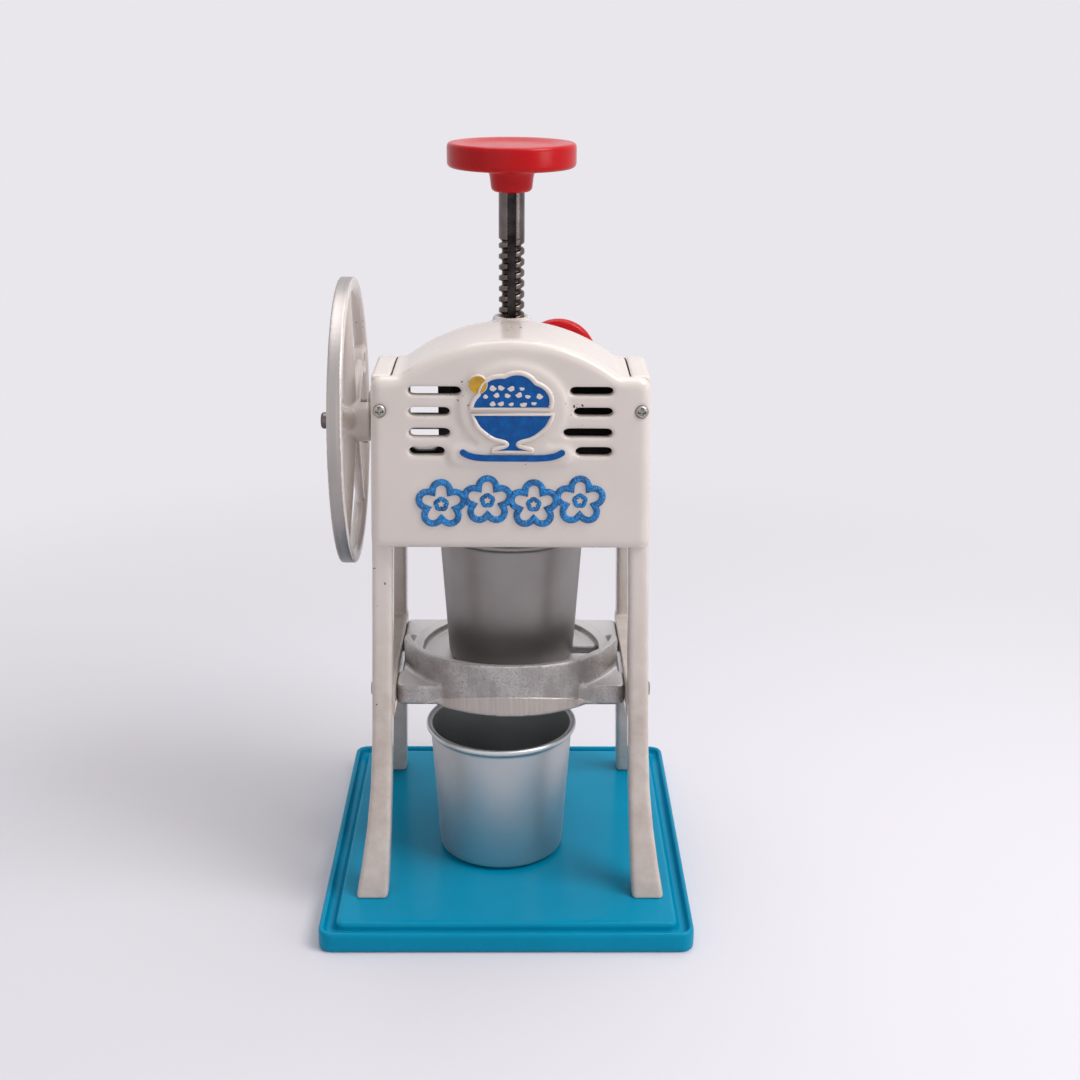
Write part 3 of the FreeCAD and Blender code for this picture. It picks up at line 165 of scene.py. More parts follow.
# row of blossoms
blossom_z = 206.0
blossom_count = 4
blossom_gap = 20.8
blossom_size = 10.4
blossom_sway = 0.9
blossom_dip = 0.42        # of its size, between two petals
blossom_line = 1.6
heart_size = 2.6
heart_dip = 0.25
heart_line = 1.0
petals = 5

# ---- surroundings, in metres and watts ----
surroundings = "#E9E7EC"
floor_near = 0.25
floor_far = 0.75
floor_half = 30.0
lamp_aim = (0.0, 0.0, 0.17)
lamps = {                 # place, side and power
    "key_lamp": ((0.80, -0.35, 1.25), 0.7, 12.0),
    "fill_lamp": ((-0.5, -1.2, 0.6), 1.2, 1.5),
    "window_lamp": ((1.1, -0.6, 0.4), 0.5, 2.5),
    "top_lamp": ((0.05, 0.25, 1.4), 1.0, 8.0),
}

# ---- camera: place in metres, turns in degrees, lens and sensor in millimetres ----
camera_place = (0.004, -0.735, 0.423)
camera_pan = -0.79
camera_tilt = 70.9
camera_roll = 0.43
camera_lens = 52.7
camera_sensor = 36.0
camera_near = 0.02        # metres


# ---- nodes and materials ----
def tint(code):
    """Linear RGBA of an sRGB hex value."""
    parts = [int(code[i:i + 2], 16) / 255 for i in (1, 3, 5)]
    return [c / 12.92 if c <= 0.04045 else ((c + 0.055) / 1.055) ** 2.4 for c in parts] + [1.0]


def source(value):
    """The output of a node, which is the third of a colour mix, or the socket or value itself."""
    if isinstance(value, bpy.types.Node):
        return value.outputs[2 if getattr(value, "data_type", None) == "RGBA" else 0]
    return value


def add(tree, kind, inputs=None, **settings):
    """A node of that kind with its settings, and values, sockets or other nodes on its inputs."""
    node = tree.nodes.new(kind)
    for name, value in settings.items():
        setattr(node, name, value)
    for name, value in (inputs or {}).items():
        value = source(value)
        if isinstance(value, bpy.types.NodeSocket):
            tree.links.new(value, node.inputs[name])
        else:
            node.inputs[name].default_value = value
    return node


def start(name):
    """A material with its tree, its shader and the place on the piece."""
    material = bpy.data.materials.new(name)
    material.use_nodes = True
    tree = material.node_tree
    tree.nodes.clear()
    shader = add(tree, "ShaderNodeBsdfPrincipled")
    add(tree, "ShaderNodeOutputMaterial", {"Surface": shader})
    return material, tree, shader, add(tree, "ShaderNodeTexCoord").outputs["Object"]


def linked(tree, shader, colour, rough, relief):
    """Gives the shader its colour, roughness and bump."""
    for name, value in (("Base Color", colour), ("Roughness", rough), ("Normal", relief)):
        tree.links.new(source(value), shader.inputs[name])


def per_mm(size):
    """Scale of a texture whose pattern repeats about every size millimetres."""
    return 1.0 / (size * MM)


def inside_mask(tree, place, facing):
    """1 on faces that look into the housing, which the enamel gives painted shade, 0 elsewhere."""
    at = add(tree, "ShaderNodeSeparateXYZ", {0: place}).outputs
    way = add(tree, "ShaderNodeSeparateXYZ", {0: facing}).outputs
    across = add(tree, "ShaderNodeMath", {0: at["X"]}, operation="ABSOLUTE")
    along = add(tree, "ShaderNodeMath", {0: at["Y"]}, operation="ABSOLUTE")
    inside_shade = add(tree, "ShaderNodeMath", {0: way["Z"], 1: room_tilt}, operation="LESS_THAN")
    for value, limit, operation in (
        (across, room_half_width, "LESS_THAN"),
        (along, room_half_depth, "LESS_THAN"),
        (at["Z"], room_bottom, "GREATER_THAN"),
        (at["Z"], room_top, "LESS_THAN"),
    ):
        test = add(tree, "ShaderNodeMath", {0: value, 1: limit * MM}, operation=operation)
        inside_shade = add(tree, "ShaderNodeMath", {0: inside_shade, 1: test}, operation="MULTIPLY")
    return inside_shade


def tread_mask(tree, place, radius):
    """1 beyond that distance from the drive axle's line, 0 within it."""
    low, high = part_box("drive_axle")
    flat = add(tree, "ShaderNodeVectorMath", {0: place, 1: (0.0, 1.0, 1.0)}, operation="MULTIPLY")
    off = add(tree, "ShaderNodeVectorMath", {0: flat, 1: (0.0, 0.0, (low.z + high.z) / 2)},
              operation="SUBTRACT")
    away = add(tree, "ShaderNodeVectorMath", {0: off}, operation="LENGTH")
    start_in, end_in = tread_fade
    return add(tree, "ShaderNodeMapRange",
               {"Value": away.outputs["Value"], "From Min": radius - start_in * MM,
                "From Max": radius - end_in * MM})


def mottled(name, tones, patches, gloss, marks, depth, limits=None):
    """A finish in two tones that lie in patches, with its gloss, and marks of that strength and depth in mm.
    Patches and marks are the inputs of a noise, and limits sharpen the patches. Gives the material and its
    shader."""
    material, tree, shader, place = start(name)
    cloud = add(tree, "ShaderNodeTexNoise", {"Vector": place, **patches})
    share = cloud
    if limits:
        share = add(tree, "ShaderNodeMapRange",
                    {"Value": cloud, "From Min": limits[0], "From Max": limits[1]})
    shade = add(tree, "ShaderNodeMix", {0: share, 6: tint(tones[0]), 7: tint(tones[1])}, data_type="RGBA")
    rough = add(tree, "ShaderNodeMapRange", {"Value": cloud, "To Min": gloss[0], "To Max": gloss[1]})
    skin = add(tree, "ShaderNodeTexNoise", {"Vector": place, **marks})
    relief = add(tree, "ShaderNodeBump", {"Height": skin, "Strength": depth[0], "Distance": depth[1] * MM})
    linked(tree, shader, shade, rough, relief)
    return material, shader


def cream_enamel(name, tread=None):
    """Stoved cream enamel on grey iron: thick, glossy and slightly wavy. It is chipped to dark primer in
    specks and along lower edges. Down the legs it turns darker in patches: painted shade, with stains in it.
    Faces that look into the housing get painted shade, nearly black and matte. A wheel's tread is left bare,
    turned to a soft grey with fine rings."""
    material, tree, shader, place = start(name)
    cloud = add(tree, "ShaderNodeTexNoise", {"Vector": place, "Scale": per_mm(34.0), "Detail": 3.0})
    shade = add(tree, "ShaderNodeMix", {0: cloud, 6: tint("#DFD5CE"), 7: tint("#D2C8C0")}, data_type="RGBA")
    height = add(tree, "ShaderNodeSeparateXYZ", {0: place}).outputs["Z"]
    # painted shade: below the covers the enamel darkens towards the feet
    lower_painted_shade = add(tree, "ShaderNodeMapRange", {"Value": height, "From Min": cover_bottom * MM,
                                                "From Max": 0.5 * cover_bottom * MM})
    stains = add(tree, "ShaderNodeTexNoise", {"Vector": place, "Scale": per_mm(11.0), "Detail": 4.0,
                                              "Roughness": 0.65})
    patchy = add(tree, "ShaderNodeMapRange", {"Value": stains, "From Min": 0.3, "From Max": 0.7,
                                              "To Min": 0.35, "To Max": 1.0})
    shade_and_stains = add(tree, "ShaderNodeMath", {0: lower_painted_shade, 1: patchy}, operation="MULTIPLY")
    # painted shade with stains: the legs' enamel is mixed towards #B9AAA0, more in the stains' patches
    shaded_and_stained = add(tree, "ShaderNodeMix", {0: shade_and_stains, 6: shade, 7: tint("#B9AAA0")}, data_type="RGBA")
    specks = add(tree, "ShaderNodeTexNoise", {"Vector": place, "Scale": per_mm(2.6), "Detail": 2.0,
                                              "Roughness": 0.6})
    groups = add(tree, "ShaderNodeTexNoise", {"Vector": place, "Scale": per_mm(22.0), "Detail": 1.0})
    over_edge = add(tree, "ShaderNodeMath", {0: height, 1: cover_bottom * MM}, operation="SUBTRACT")
    far = add(tree, "ShaderNodeMath", {0: over_edge}, operation="ABSOLUTE")
    edge = add(tree, "ShaderNodeMapRange", {"Value": far, "From Min": edge_wear_reach[0] * MM,
                                            "From Max": edge_wear_reach[1] * MM, "To Min": edge_wear,
                                            "To Max": 0.0})
    both = add(tree, "ShaderNodeMath", {0: specks, 1: groups}, operation="MULTIPLY")
    worn = add(tree, "ShaderNodeMath", {0: both, 1: edge}, operation="ADD")
    chips = add(tree, "ShaderNodeMapRange", {"Value": worn, "From Min": chip_levels[0],
                                             "From Max": chip_levels[1]})
    paint = add(tree, "ShaderNodeMix", {0: chips, 6: shaded_and_stained, 7: tint("#4A3A30")}, data_type="RGBA")
    # painted shade: faces that look into the housing go nearly black (#2E2A28) and fully rough
    inside_shade = inside_mask(tree, place, add(tree, "ShaderNodeTexCoord").outputs["Normal"])
    whole = add(tree, "ShaderNodeMix", {0: inside_shade, 6: paint, 7: tint("#2E2A28")}, data_type="RGBA")
    gloss = add(tree, "ShaderNodeMapRange", {"Value": cloud, "To Min": 0.12, "To Max": 0.24})
    rough = add(tree, "ShaderNodeMath", {0: gloss, 1: inside_shade}, operation="MAXIMUM")
    if tread:
        bare = tread_mask(tree, place, tread)
        squeeze = add(tree, "ShaderNodeMapping", {"Vector": place, "Scale": (1.0, 0.02, 0.02)})
        rings = add(tree, "ShaderNodeTexNoise", {"Vector": squeeze, "Scale": per_mm(1.4), "Detail": 2.0})
        turned = add(tree, "ShaderNodeMix", {0: rings, 6: tint("#BDB7B4"), 7: tint("#8F8986")},
                     data_type="RGBA")
        whole = add(tree, "ShaderNodeMix", {0: bare, 6: whole, 7: turned}, data_type="RGBA")
        rough = add(tree, "ShaderNodeMix", {0: bare, 2: rough, 3: 0.42})
        tree.links.new(source(bare), shader.inputs["Metallic"])
    skin = add(tree, "ShaderNodeTexNoise", {"Vector": place, "Scale": per_mm(9.0), "Detail": 1.0})
    relief = add(tree, "ShaderNodeBump", {"Height": skin, "Strength": 0.2, "Distance": 0.4 * MM})
    linked(tree, shader, whole, rough, relief)
    shader.inputs["IOR"].default_value = 1.52
    return material


def turquoise_abs():
    """Moulded ABS: satin, with faint scuffs and the mould's texture, drawn coarser than it is, so that it
    shows."""
    scuffs = {"Scale": per_mm(28.0), "Detail": 5.0, "Roughness": 0.65}
    grain = {"Scale": per_mm(0.9), "Detail": 2.0}
    material, shader = mottled("turquoise_moulded_abs", ("#008FB4", "#0082A4"), scuffs, (0.13, 0.28), grain,
                               (0.15, 0.06))
    shader.inputs["IOR"].default_value = 1.54
    shader.inputs["Specular IOR Level"].default_value = 0.08
    return material


def turned_band(tree, place):
    """1 on the turned part of the table's edge, which is highest in the middle and runs out to the sides."""
    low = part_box("blade_table")[0]
    at = add(tree, "ShaderNodeSeparateXYZ", {0: place}).outputs
    share = add(tree, "ShaderNodeMath", {0: at["X"], 1: band_reach * MM}, operation="DIVIDE")
    square = add(tree, "ShaderNodeMath", {0: share, 1: share}, operation="MULTIPLY")
    curve = add(tree, "ShaderNodeMapRange", {"Value": square, "To Min": low.z + band_height * MM,
                                             "To Max": low.z})
    under = add(tree, "ShaderNodeMath", {0: curve, 1: at["Z"]}, operation="SUBTRACT")
    return add(tree, "ShaderNodeMapRange", {"Value": under, "From Min": 0.0, "From Max": band_step * MM})


def cast_aluminium():
    """Sand cast aluminium: grey and granular, filed upright round its rim, turned bright on the level faces
    and on the lower part of its edge. The level faces' light colour is partly painted light."""
    material, tree, shader, place = start("sand_cast_aluminium")
    facing = add(tree, "ShaderNodeTexCoord").outputs["Normal"]
    level = add(tree, "ShaderNodeSeparateXYZ", {0: facing}).outputs["Z"]
    # painted light with the turned finish: faces that point up are lightened
    turned = add(tree, "ShaderNodeMapRange", {"Value": level, "From Min": 0.80, "From Max": 0.94})
    grit = add(tree, "ShaderNodeTexNoise",
               {"Vector": place, "Scale": per_mm(1.1), "Detail": 4.0, "Roughness": 0.75})
    cloud = add(tree, "ShaderNodeTexNoise", {"Vector": place, "Scale": per_mm(12.0), "Detail": 3.0})
    stretch = add(tree, "ShaderNodeMapping", {"Vector": place, "Scale": (1.0, 1.0, 0.06)})
    files = add(tree, "ShaderNodeTexNoise", {"Vector": stretch, "Scale": per_mm(1.5), "Detail": 3.0})
    patches = add(tree, "ShaderNodeMix", {0: 0.2, 2: cloud, 3: files})
    spread = add(tree, "ShaderNodeMapRange", {"Value": patches, "From Min": 0.38, "From Max": 0.62})
    raw = add(tree, "ShaderNodeMix", {0: spread, 6: tint("#B5B1AF"), 7: tint("#989390")}, data_type="RGBA")
    pits = add(tree, "ShaderNodeMapRange", {"Value": grit, "From Min": 0.34, "From Max": 0.52})
    pitted = add(tree, "ShaderNodeMix", {0: pits, 6: tint("#8C8885"), 7: raw}, data_type="RGBA")
    band = turned_band(tree, place)
    worked = add(tree, "ShaderNodeMix", {0: files, 6: tint("#C6BEB8"), 7: tint("#A39A93")}, data_type="RGBA")
    banded = add(tree, "ShaderNodeMix", {0: band, 6: pitted, 7: worked}, data_type="RGBA")
    # painted light and turned finish: level faces are mixed to #DAD6D4
    shade = add(tree, "ShaderNodeMix", {0: turned, 6: banded, 7: tint("#DAD6D4")}, data_type="RGBA")
    marks = add(tree, "ShaderNodeMix", {0: 0.15, 2: grit, 3: files})
    height = add(tree, "ShaderNodeMath", {0: band, 1: 1.5, 2: marks}, operation="MULTIPLY_ADD")
    gloss = add(tree, "ShaderNodeMapRange", {"Value": grit, "To Min": 0.24, "To Max": 0.50})
    relief = add(tree, "ShaderNodeBump", {"Height": height, "Strength": 0.9, "Distance": 0.35 * MM})
    linked(tree, shader, shade, gloss, relief)
    shader.inputs["Metallic"].default_value = 0.8
    return material


def spun_aluminium(name, bright, dull, rough):
    """Spun aluminium sheet with a satin finish: turning rings, drawn coarser than they are, and dents."""
    material, tree, shader, place = start(name)
    flat = add(tree, "ShaderNodeMapping", {"Vector": place, "Scale": (0.02, 0.02, 1.0)})
    rings = add(tree, "ShaderNodeTexNoise", {"Vector": flat, "Scale": per_mm(1.6), "Detail": 2.0})
    cloud = add(tree, "ShaderNodeTexNoise", {"Vector": place, "Scale": per_mm(24.0), "Detail": 3.0})
    shade = add(tree, "ShaderNodeMix", {0: cloud, 6: tint(bright), 7: tint(dull)}, data_type="RGBA")
    height = add(tree, "ShaderNodeMix", {0: 0.75, 2: rings, 3: cloud})
    relief = add(tree, "ShaderNodeBump", {"Height": height, "Strength": 0.12, "Distance": 0.4 * MM})
    gloss = add(tree, "ShaderNodeMapRange", {"Value": cloud, "To Min": rough, "To Max": rough + 0.1})
    shader.inputs["Metallic"].default_value = 1.0
    linked(tree, shader, shade, gloss, relief)
    return material


def bare_metal(name, bright, dull, grain, rough):
    """Bare machined metal: two tones in patches as its oil film lies, with tool marks drawn coarser than
    they are."""
    film = {"Scale": per_mm(9.0), "Detail": 4.0}
    marks = {"Scale": per_mm(grain), "Detail": 3.0}
    material, shader = mottled(name, (bright, dull), film, (rough, rough + 0.18), marks, (0.3, 0.08))
    shader.inputs["Metallic"].default_value = 1.0
    return material


def spindle_steel():
    """Turned steel with old oil on it: grey on the crests, brown in the thread's grooves and nearly black in
    the keyway. The brown and the black are painted shade, tinted by old oil, caked in patches in the keyway.
    Tool marks run round it, drawn coarser than they are."""
    material, tree, shader, place = start("oiled_turned_steel")
    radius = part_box("screw_spindle")[1].x
    at = add(tree, "ShaderNodeSeparateXYZ", {0: place}).outputs
    flat = add(tree, "ShaderNodeCombineXYZ", {"X": at["X"], "Y": at["Y"]})
    away = add(tree, "ShaderNodeVectorMath", {0: flat}, operation="LENGTH")
    # painted shade: the thread darkens below its crests
    crest = add(tree, "ShaderNodeMapRange",
                {"Value": away.outputs["Value"], "From Min": radius - groove_shade_fade[0] * MM,
                 "From Max": radius - groove_shade_fade[1] * MM})
    side = add(tree, "ShaderNodeMath", {0: at["X"]}, operation="ABSOLUTE")
    narrow = add(tree, "ShaderNodeMath", {0: side, 1: (keyway_half + keyway_margin) * MM},
                 operation="LESS_THAN")
    front = add(tree, "ShaderNodeMath", {0: at["Y"], 1: keyway_front * MM}, operation="LESS_THAN")
    keyway = add(tree, "ShaderNodeMath", {0: narrow, 1: front}, operation="MULTIPLY")
    film = add(tree, "ShaderNodeTexNoise", {"Vector": place, "Scale": per_mm(7.0), "Detail": 4.0})
    steel = add(tree, "ShaderNodeMix", {0: film, 6: tint("#807875"), 7: tint("#453C39")}, data_type="RGBA")
    # painted shade, brown as old oil: the grooves are mixed towards #3A2D24
    shaded_grooves = add(tree, "ShaderNodeMix", {0: crest, 6: tint("#3A2D24"), 7: steel}, data_type="RGBA")
    caked = add(tree, "ShaderNodeMapRange", {"Value": film, "From Min": 0.35, "From Max": 0.65})
    # painted shade with caked oil: the keyway goes nearly black (#3D393A to #211C1B)
    keyway_shade_and_oil = add(tree, "ShaderNodeMix", {0: caked, 6: tint("#3D393A"), 7: tint("#211C1B")}, data_type="RGBA")
    whole = add(tree, "ShaderNodeMix", {0: keyway, 6: shaded_grooves, 7: keyway_shade_and_oil}, data_type="RGBA")
    squeeze = add(tree, "ShaderNodeMapping", {"Vector": place, "Scale": (0.1, 0.1, 1.0)})
    marks = add(tree, "ShaderNodeTexNoise", {"Vector": squeeze, "Scale": per_mm(0.5), "Detail": 2.0})
    gloss = add(tree, "ShaderNodeMapRange", {"Value": film, "To Min": 0.16, "To Max": 0.34})
    relief = add(tree, "ShaderNodeBump", {"Height": marks, "Strength": 0.25, "Distance": 0.08 * MM})
    linked(tree, shader, whole, gloss, relief)
    shader.inputs["Metallic"].default_value = 1.0
    return material


def red_plastic():
    """Moulded urea plastic: deep red, polished, a little duller in patches."""
    wear = {"Scale": per_mm(20.0), "Detail": 3.0}
    waves = {"Scale": per_mm(6.0), "Detail": 1.0}
    material, shader = mottled("red_moulded_plastic", ("#BE0A10", "#AC080E"), wear, (0.18, 0.32), waves,
                               (0.12, 0.2))
    shader.inputs["IOR"].default_value = 1.52
    shader.inputs["Specular IOR Level"].default_value = 0.2
    return material


def brushed_paint(name, main, second, lumps, shine):
    """Paint laid on the raised relief by hand: thick and glossy, with brush lumps that catch the light."""
    coats = {"Scale": per_mm(3.0), "Detail": 4.0}
    brush = {"Scale": per_mm(1.0), "Detail": 2.0}
    material, shader = mottled(name, (main, second), coats, (0.06, 0.20), brush, (1.0, lumps), (0.35, 0.65))
    shader.inputs["Specular IOR Level"].default_value = shine
    return material


enamel = cream_enamel("cream_stoved_enamel")
wheel_low, wheel_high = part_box("handwheel")
wheel_finish = cream_enamel("cream_enamel_bare_tread", (wheel_high.z - wheel_low.z) / 2)
blue_paint = brushed_paint("blue_relief_paint", "#0058A0", "#004A8C", 0.25, 0.2)
blue_outline = brushed_paint("blue_outline_paint", "#008AD6", "#005894", 1.8, 0.5)
yellow_paint = brushed_paint("yellow_relief_paint", "#C69A1C", "#B08414", 0.2, 0.5)
cup_inside = spun_aluminium("spun_dull_aluminium", "#8C8F95", "#797C82", 0.45)
# darker than the lower cup: partly tarnish, partly painted shade from the hood above it
tarnished_and_shaded_cup = spun_aluminium("tarnished_and_shaded_spun_aluminium", "#9A9693", "#858180", 0.38)
finishes = {
    "cream_enamel": enamel,
    "turquoise_abs": turquoise_abs(),
    "cast_aluminium": cast_aluminium(),
    "spun_aluminium": spun_aluminium("spun_satin_aluminium", "#C8CACA", "#B8BBBC", 0.38),
    "blade_steel": bare_metal("ground_blade_steel", "#A9A9AB", "#8D8D90", 0.6, 0.22),
    "spindle_steel": spindle_steel(),
    "gear_iron": bare_metal("cut_gear_iron", "#6A6764", "#4C4946", 1.2, 0.38),
    "bush_bronze": bare_metal("greased_bronze", "#5E472E", "#3C2C1C", 0.8, 0.34),
    "plated_screw": bare_metal("zinc_plated_screw", "#B4B1AA", "#8F8B84", 0.5, 0.26),
    "band_steel": bare_metal("spring_band_steel", "#6E6C6A", "#54514E", 0.8, 0.34),
    "red_plastic": red_plastic(),
    "bridge_iron": bare_metal("cast_bridge_iron", "#55524F", "#403D3A", 1.6, 0.55),
}


# ---- meshes ----
def merged(node):
    """A closed mesh of a frame node."""
    mesh = nodes[node].data.copy()
    body = bmesh.new()
    body.from_mesh(mesh)
    bmesh.ops.remove_doubles(body, verts=body.verts, dist=weld_gap * MM)
    body.to_mesh(mesh)
    body.free()
    return mesh


def shown(name, mesh, body, slot, replaced, materials=()):
    """The mesh as a named piece of a body, in its slot's finish unless others are given."""
    mesh.materials.clear()
    for material in materials or [finishes[slot]]:
        mesh.materials.append(material)
    piece = bpy.data.objects.new(name, mesh)
    scene.collection.objects.link(piece)
    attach(piece, body)
    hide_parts(*replaced)


def evaluated(host):
    """The mesh that the host's modifiers make, and no host any more."""
    view = bpy.context.evaluated_depsgraph_get()
    mesh = bpy.data.meshes.new_from_object(host.evaluated_get(view))
    bpy.data.objects.remove(host)
    return mesh


def cast_skin(node, voxel, rounds):
    """The node's shape with its edges rounded over, as on a casting under thick enamel."""
    host = bpy.data.objects.new(node + "_host", merged(node))
    scene.collection.objects.link(host)
    remesh = host.modifiers.new("skin", "REMESH")
    remesh.mode = "VOXEL"
    remesh.voxel_size = voxel * MM
    ease = host.modifiers.new("ease", "SMOOTH")
    ease.factor = 0.5
    ease.iterations = rounds
    mesh = evaluated(host)
    mesh.shade_smooth()
    return mesh


def eased(points, radius, steps=5):
    """The outline with its inner corners rounded."""
    out = [points[0]]
    for before, corner, after in zip(points, points[1:], points[2:]):
        reach_in = min(radius, (before - corner).length * corner_share)
        reach_out = min(radius, (after - corner).length * corner_share)
        first = corner + (before - corner).normalized() * reach_in
        last = corner + (after - corner).normalized() * reach_out
        for step in range(steps + 1):
            t = step / steps
            out.append(first.lerp(corner, t).lerp(corner.lerp(last, t), t))
    return out + [points[-1]]


def lathe(outline, centre, axis="Z", steps=144, closed=False):
    """A closed mesh turned from an outline of (radius, height) in mm that starts and ends on the axis, or,
    for a ring, from a closed outline beside it."""
    body = bmesh.new()
    rings = []
    for point in outline:
        count = steps if point.x > axis_gap else 1
        ring = [body.verts.new((point.x * math.cos(2 * math.pi * k / count),
                                point.x * math.sin(2 * math.pi * k / count), point.y)) for k in range(count)]
        rings.append(ring)
    if closed:
        rings.append(rings[0])
    for low, high in zip(rings, rings[1:]):
        for k in range(steps):
            corners = [low[k % len(low)], low[(k + 1) % len(low)], high[(k + 1) % len(high)],
                       high[k % len(high)]]
            corners = list(dict.fromkeys(corners))
            if len(corners) > 2:
                body.faces.new(corners)
    bmesh.ops.recalc_face_normals(body, faces=body.faces)
    turn = Matrix.Rotation(-math.pi / 2, 4, "X") if axis == "Y" else Matrix.Identity(4)
    body.transform(Matrix.Translation(Vector(centre) * MM) @ turn @ Matrix.Scale(MM, 4))
    mesh = bpy.data.meshes.new("turned")
    body.to_mesh(mesh)
    body.free()
    mesh.shade_smooth()
    return mesh


# ---- trees that grow a mesh ----
def geometry_tree(name, inputs):
    """A geometry tree with named inputs, and the sockets that give them."""
    tree = bpy.data.node_groups.new(name, "GeometryNodeTree")
    tree.interface.new_socket("Geometry", in_out="INPUT", socket_type="NodeSocketGeometry")
    for label in inputs:
        tree.interface.new_socket(label, in_out="INPUT", socket_type="NodeSocketFloat")
    tree.interface.new_socket("Geometry", in_out="OUTPUT", socket_type="NodeSocketGeometry")
    return tree, add(tree, "NodeGroupInput").outputs


def ended(tree, geometry, material):
    """Ends a tree: instances made real, the finish set."""
    real = add(tree, "GeometryNodeRealizeInstances", {"Geometry": geometry})
    dressed = add(tree, "GeometryNodeSetMaterial", {"Geometry": real, "Material": material})
    add(tree, "NodeGroupOutput", {"Geometry": dressed})


def grown(tree, values, seed_mesh):
    """The mesh that the tree grows from the seed mesh with these values."""
    host = bpy.data.objects.new(tree.name + "_host", seed_mesh)
    scene.collection.objects.link(host)
    modifier = host.modifiers.new("tree", "NODES")
    modifier.node_group = tree
    for item in tree.interface.items_tree:
        if item.in_out == "INPUT" and item.name in values:
            modifier[item.identifier] = values[item.name]
    return evaluated(host)


def spindle_tree(material, sides, rings):
    """A rod with a square right-hand thread below its plain neck, and a keyway along the front."""
    tree, size = geometry_tree("threaded_spindle",
                               ["Radius", "Length", "Bottom", "Pitch", "Depth", "Thread Top", "Keyway Half",
                                "Keyway Depth"])
    rod = add(tree, "GeometryNodeMeshCylinder",
              {"Vertices": sides, "Side Segments": rings, "Radius": size["Radius"], "Depth": size["Length"]})
    half = add(tree, "ShaderNodeMath", {0: size["Length"], 1: 0.5}, operation="MULTIPLY")
    middle = add(tree, "ShaderNodeMath", {0: size["Bottom"], 1: half}, operation="ADD")
    lift = add(tree, "ShaderNodeCombineXYZ", {"Z": middle})
    placed = add(tree, "GeometryNodeTransform", {"Geometry": rod, "Translation": lift})
    where = add(tree, "ShaderNodeSeparateXYZ", {0: add(tree, "GeometryNodeInputPosition")}).outputs
    angle = add(tree, "ShaderNodeMath", {0: where["Y"], 1: where["X"]}, operation="ARCTAN2")
    turns = add(tree, "ShaderNodeMath", {0: angle, 1: 2 * math.pi}, operation="DIVIDE")
    rise = add(tree, "ShaderNodeMath", {0: where["Z"], 1: size["Pitch"]}, operation="DIVIDE")
    phase = add(tree, "ShaderNodeMath", {0: rise, 1: turns}, operation="SUBTRACT")
    within = add(tree, "ShaderNodeMath", {0: phase}, operation="FRACT")
    off = add(tree, "ShaderNodeMath", {0: within, 1: 0.5}, operation="SUBTRACT")
    away = add(tree, "ShaderNodeMath", {0: off}, operation="ABSOLUTE")
    groove = add(tree, "ShaderNodeMapRange",
                 {"Value": away, "From Min": groove_floor, "From Max": groove_mouth, "To Min": size["Depth"],
                  "To Max": 0.0}, interpolation_type="SMOOTHSTEP")
    fade_start = add(tree, "ShaderNodeMath", {0: size["Thread Top"], 1: thread_runout * MM},
                     operation="SUBTRACT")
    fade = add(tree, "ShaderNodeMapRange", {"Value": where["Z"], "From Min": fade_start,
                                            "From Max": size["Thread Top"], "To Min": 1.0, "To Max": 0.0})
    cut = add(tree, "ShaderNodeMath", {0: groove, 1: fade}, operation="MULTIPLY")
    left = add(tree, "ShaderNodeMath", {0: size["Radius"], 1: cut}, operation="SUBTRACT")
    ratio = add(tree, "ShaderNodeMath", {0: left, 1: size["Radius"]}, operation="DIVIDE")
    new_x = add(tree, "ShaderNodeMath", {0: where["X"], 1: ratio}, operation="MULTIPLY")
    new_y = add(tree, "ShaderNodeMath", {0: where["Y"], 1: ratio}, operation="MULTIPLY")
    side = add(tree, "ShaderNodeMath", {0: where["X"]}, operation="ABSOLUTE")
    narrow = add(tree, "ShaderNodeMath", {0: side, 1: size["Keyway Half"]}, operation="LESS_THAN")
    front = add(tree, "ShaderNodeMath", {0: where["Y"], 1: 0.0}, operation="LESS_THAN")
    keyed = add(tree, "ShaderNodeMath", {0: narrow, 1: front}, operation="MULTIPLY")
    floor_radius = add(tree, "ShaderNodeMath", {0: size["Keyway Depth"], 1: size["Radius"]},
                       operation="SUBTRACT")
    floor_y = add(tree, "ShaderNodeMath", {0: new_y, 1: floor_radius}, operation="MAXIMUM")
    final_y = add(tree, "ShaderNodeMix", {0: keyed, 2: new_y, 3: floor_y})
    moved = add(tree, "ShaderNodeCombineXYZ", {"X": new_x, "Y": final_y, "Z": where["Z"]})
    shaped = add(tree, "GeometryNodeSetPosition", {"Geometry": placed, "Position": moved})
    ended(tree, shaped, material)
    return tree


def threaded_spindle():
    """The spindle with its thread, its plain neck and its keyway."""
    low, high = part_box("screw_spindle")
    tree = spindle_tree(finishes["spindle_steel"], spindle_sides, spindle_rings)
    values = {"Radius": high.x, "Length": high.z - low.z, "Bottom": low.z, "Pitch": thread_pitch * MM,
              "Depth": thread_depth * MM, "Thread Top": thread_top * MM, "Keyway Half": keyway_half * MM,
              "Keyway Depth": keyway_depth * MM}
    mesh = grown(tree, values, bpy.data.meshes.new("seed"))
    mesh.shade_smooth()
    shown("threaded_spindle", mesh, "spindle", "spindle_steel", ["screw_spindle"])


